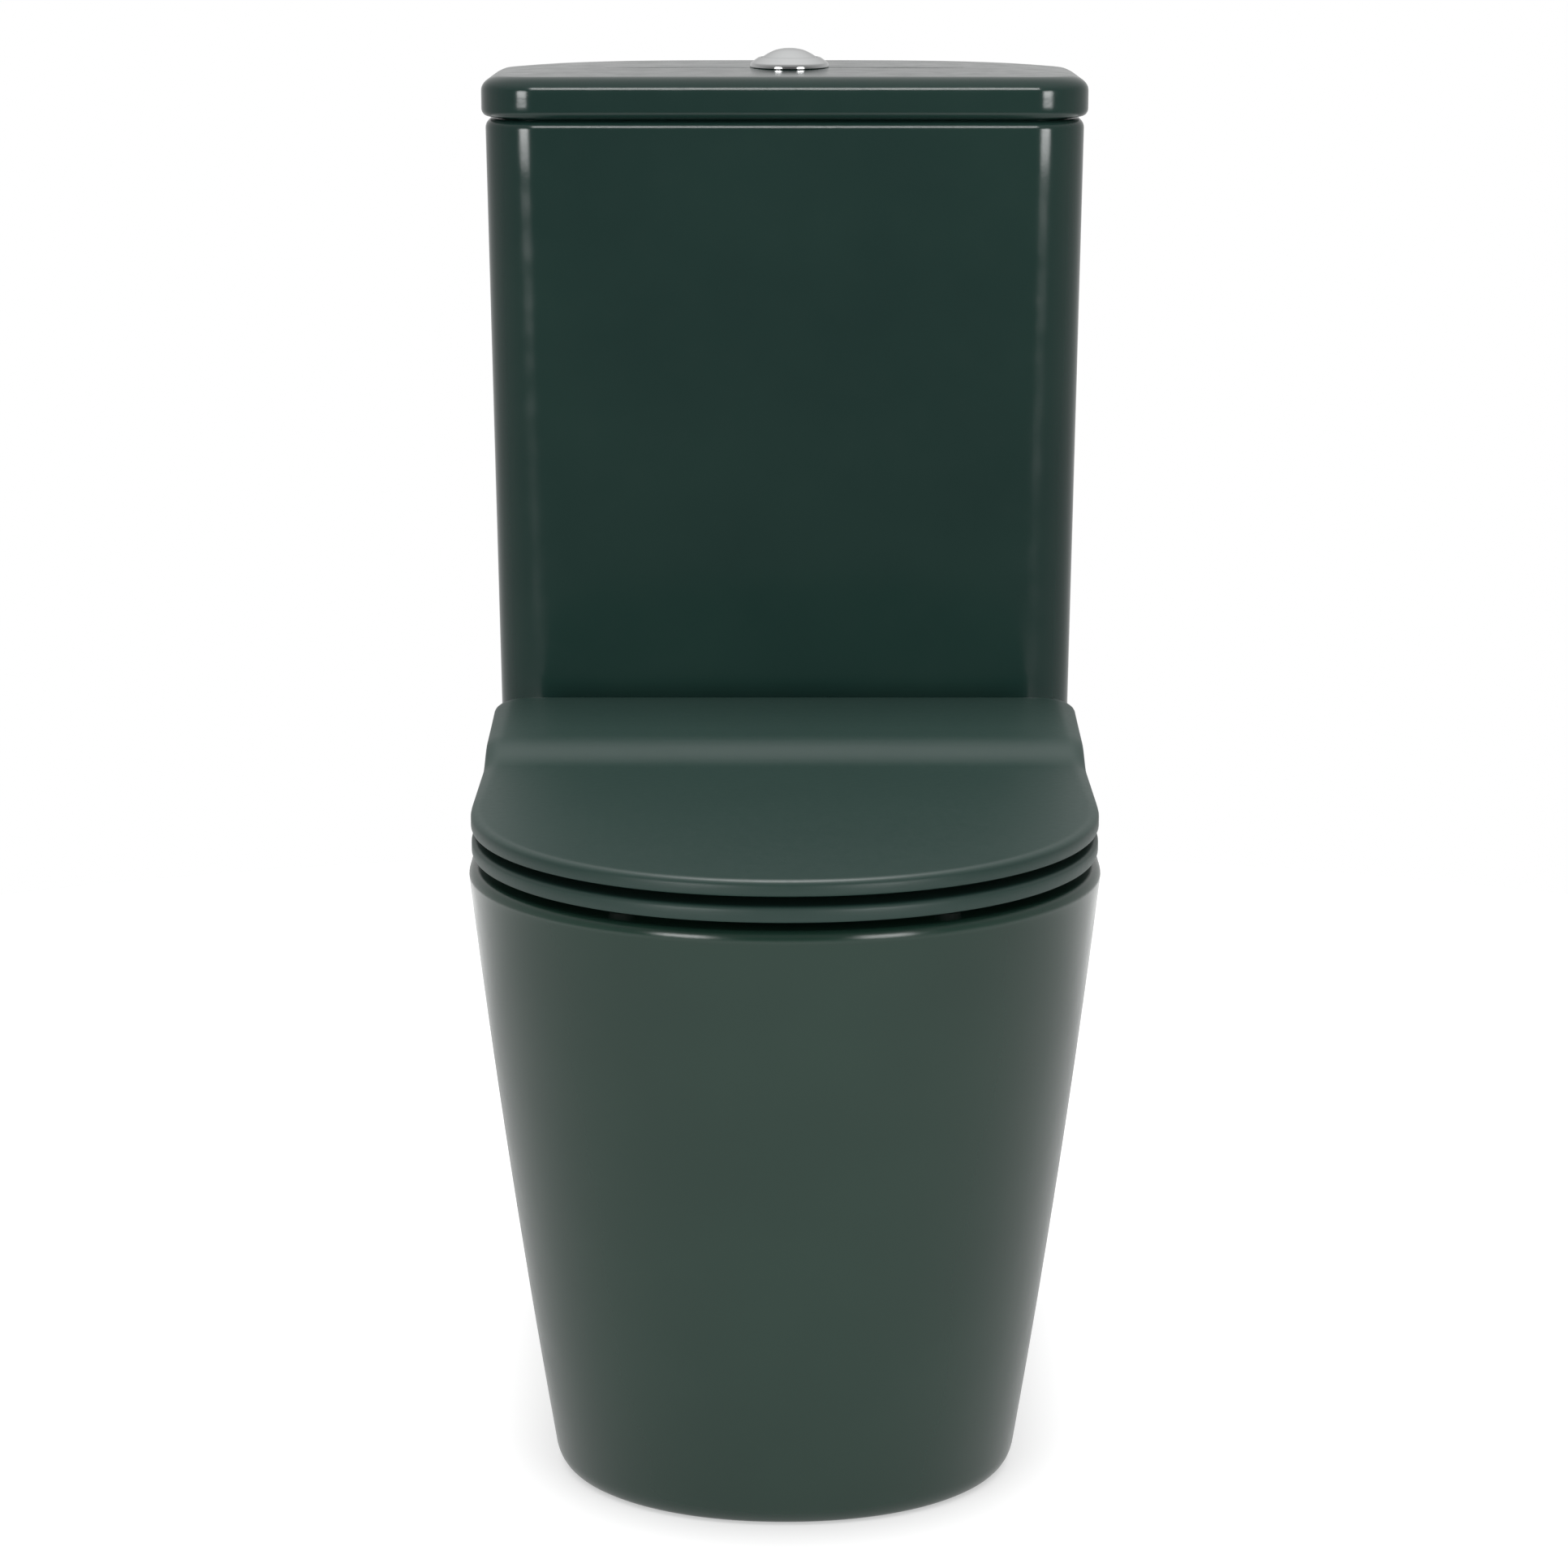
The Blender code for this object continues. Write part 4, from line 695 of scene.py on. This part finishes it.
# ---------------------------------------------------------------- seat
def lid_top(y):
    """Height of the lid's middle: level in front, then a soft step and a slope up over the hinges."""
    front = 0.0015 * min(1.0, (y - SEAT_NOSE_Y) / 0.20)
    step = min(1.0, max(0.0, (y - LID_STEP_Y) / LID_STEP_RUN))
    slope = max(0.0, (y - LID_STEP_Y) / (LID_BACK_Y - LID_STEP_Y))
    rise = LID_RISE - 0.0015 - LID_STEP
    return LID_FRONT_Z + front + LID_STEP * step * step * (3 - 2 * step) + rise * slope ** 1.3


def seat_outline(inset, corner=LID_CORNER):
    widest = SEAT_NOSE_Y + SEAT_ROUND
    return d_outline(SEAT_HALF - inset, SEAT_NOSE_Y + inset, widest, LID_BACK_Y - inset,
                     max(corner - inset, 0.004))


def make_seat_lid():
    def top_ring(inset):
        """A ring of the upper skin, with a rounded shoulder that widens and deepens towards the back."""
        ring = []
        for x, y in seat_outline(inset):
            swell = max(0.0, (y - SEAT_NOSE_Y - 0.20) / 0.23)
            width, drop = 0.0052 + 0.0075 * swell, 0.0037 + 0.0030 * swell
            reach = max(0.0, 1.0 - inset / width)
            ring.append((x, y, lid_top(y) - drop * (1 - math.sqrt(1 - reach * reach))))
        return ring

    def under_ring(inset, skin):
        return [(x, y, max(lid_top(y) - skin, LID_UNDER_Z + 0.0035)) for x, y in seat_outline(inset)]

    flats = tuple(0.178 - 0.006 * i for i in range(27))
    shoulder = (0.0, 0.0002, 0.0006, 0.0011, 0.0018, 0.0027, 0.0038, 0.0052, 0.007, 0.009, 0.0115, 0.0145,
                0.018)
    rings = [under_ring(inset, LID_SKIN) for inset in flats[:-1] + (0.0190, 0.0145)]
    rings += [under_ring(0.0115, LID_SKIN + 0.0006), under_ring(0.0095, LID_SKIN + 0.0018)]
    rings += [lift(seat_outline(inset), LID_UNDER_Z + z) for inset, z in
              ((0.0080, 0.0025), (0.0070, 0.0011), (0.0060, 0.0003), (0.0050, 0.0), (0.0018, 0.0),
               (0.0009, 0.0003), (0.0003, 0.0008), (0.0, 0.0016))]
    rings += [top_ring(inset) for inset in shoulder + tuple(reversed(flats))]
    joined, removed = [], []
    for side in (-1, 1):
        def on_axis(name, near, far, radius, side=side):
            return cylinder_mesh(name, (side * near, HINGE_Y, HINGE_Z), (side * far, HINGE_Y, HINGE_Z),
                                 radius)

        low, high = sorted((side * 0.0300, side * 0.0660))
        joined += [on_axis("barrel", 0.0255, 0.0705, BARREL_R),
                   box_mesh("web", (low, HINGE_Y - 0.0045, HINGE_Z + 0.002),
                            (high, HINGE_Y + 0.0045, lid_top(HINGE_Y) - 0.0015))]
        low, high = sorted((side * 0.0635, side * 0.0915))
        removed += [box_mesh("notch", (low, LID_BACK_Y - 0.012, 0.410), (high, LID_BACK_Y + 0.01, 0.4395),
                             0.002),
                    on_axis("bore", 0.020, 0.080, BARREL_BORE_R)]
    piece("seat_lid", loft("seat_lid", rings), SEAT_SKIN, joined, removed)


def make_seat_ring():
    outer = d_outline(SEAT_HALF - 0.0003, SEAT_NOSE_Y + 0.0008, SEAT_NOSE_Y + SEAT_ROUND, RING_BACK_Y, 0.030)
    centre_y = RING_HOLE[2]
    inner = [oval_point(*RING_HOLE, math.atan2(-x, y - centre_y)) for x, y in outer]
    top, under = RING_TOP_Z, RING_UNDER_Z
    section = [("out", 0.0030, under), ("out", 0.0014, under + 0.0001), ("out", 0.0005, under + 0.0006),
               ("out", 0.0, under + 0.0018)]
    section += [("out", inset, top - RING_OUTER_ROUND[1] + rise)
                for inset, rise in rounded_rings(*RING_OUTER_ROUND, 6)]
    section += [("out", 0.008, top), ("in", 0.020, top)]
    section += [("in", inset, top - RING_INNER_ROUND[1] + rise)
                for inset, rise in reversed(rounded_rings(*RING_INNER_ROUND, 9))]
    section += [("in", 0.0, under + 0.0020), ("in", 0.0006, under + 0.0006), ("in", 0.0018, under),
                ("in", 0.010, under)]
    rings = []
    for edge, inset, z in section:
        ring = []
        for o, i in zip(outer, inner):
            o, i = Vector(o), Vector(i)
            across = (i - o).normalized() * inset
            point = o + across if edge == "out" else i - across
            ring.append((point.x, point.y, z))
        rings.append(ring)
    joined, removed = [], []
    for side in (-1, 1):
        low, high = sorted((side * 0.0870, side * 0.1270))
        profile = [(HINGE_Y - 0.0040, HINGE_Z - 0.0092), (HINGE_Y - 0.0092, HINGE_Z - 0.0020),
                   (RING_BACK_Y - 0.006, top - 0.0008), (RING_BACK_Y - 0.006, under + 0.0008),
                   (RING_BACK_Y - 0.001, under + 0.0008)]
        joined += [loft("arm", [[(x, y, z) for y, z in profile] for x in (low, high)]),
                   cylinder_mesh("barrel", (side * 0.0845, HINGE_Y, HINGE_Z),
                                 (side * 0.1295, HINGE_Y, HINGE_Z), BARREL_R)]
        removed.append(cylinder_mesh("bore", (side * 0.080, HINGE_Y, HINGE_Z),
                                     (side * 0.140, HINGE_Y, HINGE_Z), BARREL_BORE_R))
    piece("seat_ring", loft("seat_ring", rings, closed_ring=True), SEAT_SKIN, joined, removed)


def make_seat_fittings():
    edge = 0.0010
    for name, low_radius, high_radius in (("ring_buffer_front", 0.0065, 0.0075),
                                          ("ring_buffer_rear", 0.0065, 0.0075),
                                          ("lid_buffer", 0.0045, 0.0050)):
        for label in ("_left", "_right"):
            low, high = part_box(name + label)
            centre = ((low.x + high.x) / 2, (low.y + high.y) / 2)
            profile = [(0.0, high.z), (high_radius, high.z)]
            profile += [(low_radius - inset, low.z + edge - rise) for inset, rise in
                        rounded_rings(edge, edge, 5)]
            profile.append((0.0, low.z))
            piece(name + label, turned_mesh(name, profile, centre, 48), GREY_RUBBER)
    for side, label in ((-1, "_left"), (1, "_right")):
        centre = (side * HINGE_X, HINGE_Y)
        foot = POST_LOW.z
        flange = smooth_path([(0.0062, 0.4075), (0.0066, 0.4050), (0.0085, 0.4030), (0.0115, 0.4018),
                              (0.0123, 0.4010), (0.0125, 0.3998)], 5)
        profile = [(0.0, HINGE_Z), (0.0062, HINGE_Z)] + flange + [(0.0125, foot), (0.0, foot)]
        boss = turned_mesh("boss", [(0.0, -0.006), (0.0086, -0.006), (0.0092, -0.0054), (0.0092, 0.0054),
                                    (0.0086, 0.006), (0.0, 0.006)], (0, 0), 64)
        boss.transform(Matrix.Translation((side * HINGE_X, HINGE_Y, HINGE_Z))
                       @ Matrix.Rotation(math.pi / 2, 4, "Y"))
        bore = cylinder_mesh("bore", (side * HINGE_X - 0.02, HINGE_Y, HINGE_Z),
                             (side * HINGE_X + 0.02, HINGE_Y, HINGE_Z), 0.0043)
        socket = cylinder_mesh("socket", (*centre, 0.390), (*centre, 0.4130), 0.0031, 32)
        piece("hinge_post" + label, turned_mesh("hinge_post", profile, centre, 64), CHROME, [boss],
              [bore, socket])


# ---------------------------------------------------------------- kept nodes
def dress_kept_nodes():
    """The other fittings keep their nodes, and get the material of their slot."""
    looks = {"chrome_plate": CHROME, "steel": STEEL, "brass": BRASS, "rubber": BLACK_RUBBER,
             "grey_rubber": GREY_RUBBER, "white_plastic": WHITE_PLASTIC, "blue_plastic": BLUE_PLASTIC,
             "green_china": TANK_GLAZE, "green_duroplast": SEAT_SKIN}
    for name, obj in frame["nodes"].items():
        if obj.hide_render:
            continue
        obj.data.materials.clear()
        obj.data.materials.append(looks[SLOT_OF[name]])


# ---------------------------------------------------------------- studio
def area_light(name, place, target, size, power):
    data = bpy.data.lights.new(name, "AREA")
    data.shape = "RECTANGLE"
    data.size, data.size_y = size
    data.energy = power
    light = bpy.data.objects.new(name, data)
    light.location = place
    light.rotation_euler = (Vector(target) - Vector(place)).to_track_quat("-Z", "Y").to_euler()
    light.visible_camera = False
    bpy.context.scene.collection.objects.link(light)
    return light


def light_only(light, state, nodes):
    """Keeps a light to some pieces, or off them, so that satin, glaze and chrome each get their own light."""
    group = bpy.data.collections.new(light.name + "_" + state.lower())
    for node in nodes:
        group.objects.link(bpy.data.objects["fine_" + node])
    for member in group.collection_objects:
        member.light_linking.link_state = state
    light.light_linking.receiver_collection = group


def make_floor():
    """A white floor that glows: a camera sees it at full strength, with a painted contact shadow where
    ambient occlusion cuts its glow by the foot, and the pieces get back a dimmer glow, painted darker near
    the foot.
    """
    bm = bmesh.new()
    bmesh.ops.create_circle(bm, cap_ends=True, segments=96, radius=FLOOR_RADIUS)
    floor = solid("floor", finish_mesh(bm, "floor"))
    material, nodes, links, sockets = new_material("floor_white")
    sockets["Base Color"].default_value = (FLOOR_TONE, FLOOR_TONE, FLOOR_TONE, 1.0)
    sockets["Roughness"].default_value = 0.9
    sockets["Specular IOR Level"].default_value = 0.0
    sockets["Emission Color"].default_value = (1.0, 1.0, 1.0, 1.0)
    # painted contact shadow: ambient occlusion darkens the glow a camera sees next to the foot
    painted_shadow = nodes.new("ShaderNodeAmbientOcclusion")
    painted_shadow.samples = 8
    painted_shadow.inputs["Distance"].default_value = PAINTED_SHADOW_REACH
    path = nodes.new("ShaderNodeLightPath")
    glow = nodes.new("ShaderNodeMix")
    place = nodes.new("ShaderNodeTexCoord")
    away = nodes.new("ShaderNodeVectorMath")
    away.operation = "LENGTH"
    links.new(place.outputs["Object"], away.inputs[0])
    # painted shade: the glow the pieces see is dimmer near the foot and brighter further out
    links.new(ranged(nodes, links, away.outputs["Value"], (0.85, 1.35), BOUNCE_GLOW_PAINTED_SHADE), glow.inputs["A"])
    links.new(path.outputs["Is Camera Ray"], glow.inputs["Factor"])
    links.new(ranged(nodes, links, painted_shadow.outputs["AO"], (0.0, 1.0), CAMERA_GLOW_PAINTED_SHADOW), glow.inputs["B"])
    links.new(glow.outputs["Result"], sockets["Emission Strength"])
    floor.data.materials.append(material)
    floor.location.z = -0.0005


def white_background(nodes):
    background = nodes.new("ShaderNodeBackground")
    background.inputs["Color"].default_value = (1.0, 1.0, 1.0, 1.0)
    return background


def make_world():
    """A white room with two upright softboxes in front, one to each side, in front of a white backdrop."""
    world = bpy.data.worlds.new("studio")
    bpy.context.scene.world = world
    world.use_nodes = True
    nodes, links = world.node_tree.nodes, world.node_tree.links
    nodes.clear()
    output = nodes.new("ShaderNodeOutputWorld")
    place = nodes.new("ShaderNodeTexCoord")
    split = nodes.new("ShaderNodeSeparateXYZ")
    links.new(place.outputs["Generated"], split.inputs["Vector"])
    front = math_node(nodes, links, "MULTIPLY", split.outputs["Y"], -1.0)
    aside = math_node(nodes, links, "ABSOLUTE", split.outputs["X"])
    azimuth = math_node(nodes, links, "ARCTAN2", aside, front)
    total = ranged(nodes, links, split.outputs["Y"], (-0.95, 0.85), (0.13, 0.60))
    total = math_node(nodes, links, "ADD", total,
                      ranged(nodes, links, split.outputs["Z"], (0.35, 0.95), (0.0, 0.45)))
    softboxes = ranged(nodes, links, azimuth, (0.38, 0.45), (0.0, 9.5))
    for value, source, target in ((azimuth, (0.68, 0.78), (1.0, 0.0)),
                                  (split.outputs["Z"], (-0.079, -0.064), (0.0, 1.0)),
                                  (split.outputs["Z"], (0.20, 0.34), (1.0, 0.0))):
        softboxes = math_node(nodes, links, "MULTIPLY", softboxes,
                              ranged(nodes, links, value, source, target))
    total = math_node(nodes, links, "ADD", total, softboxes)
    surround = white_background(nodes)
    links.new(total, surround.inputs["Strength"])
    backdrop = white_background(nodes)
    path = nodes.new("ShaderNodeLightPath")
    mix = nodes.new("ShaderNodeMixShader")
    links.new(path.outputs["Is Camera Ray"], mix.inputs["Fac"])
    links.new(surround.outputs["Background"], mix.inputs[1])
    links.new(backdrop.outputs["Background"], mix.inputs[2])
    links.new(mix.outputs["Shader"], output.inputs["Surface"])


def make_lights():
    strip = area_light("front_strip", (0.0, -1.35, 2.04), (0.0, 0.0, 0.75), (1.3, 0.34), 15)
    light_only(strip, "EXCLUDE", SEAT_NODES + BUTTON_NODES)
    overhead = area_light("top_soft", (0.0, 0.30, 1.95), (0.0, -0.10, 0.42), (0.6, 0.3), 13)
    light_only(overhead, "INCLUDE", SEAT_NODES)


def make_camera():
    scene = bpy.context.scene
    scene.view_settings.view_transform = "Standard"
    data = bpy.data.cameras.new("camera")
    data.sensor_width = 36
    data.lens = CAMERA_LENS
    camera = bpy.data.objects.new("camera", data)
    camera.location = CAMERA_PLACE
    camera.rotation_euler = (math.radians(90 - CAMERA_TILT), 0.0, 0.0)
    scene.collection.objects.link(camera)
    scene.camera = camera


make_pan()
make_cistern()
make_cistern_lid()
make_button()
make_seat_lid()
make_seat_ring()
make_seat_fittings()
dress_kept_nodes()
make_floor()
make_world()
make_lights()
make_camera()
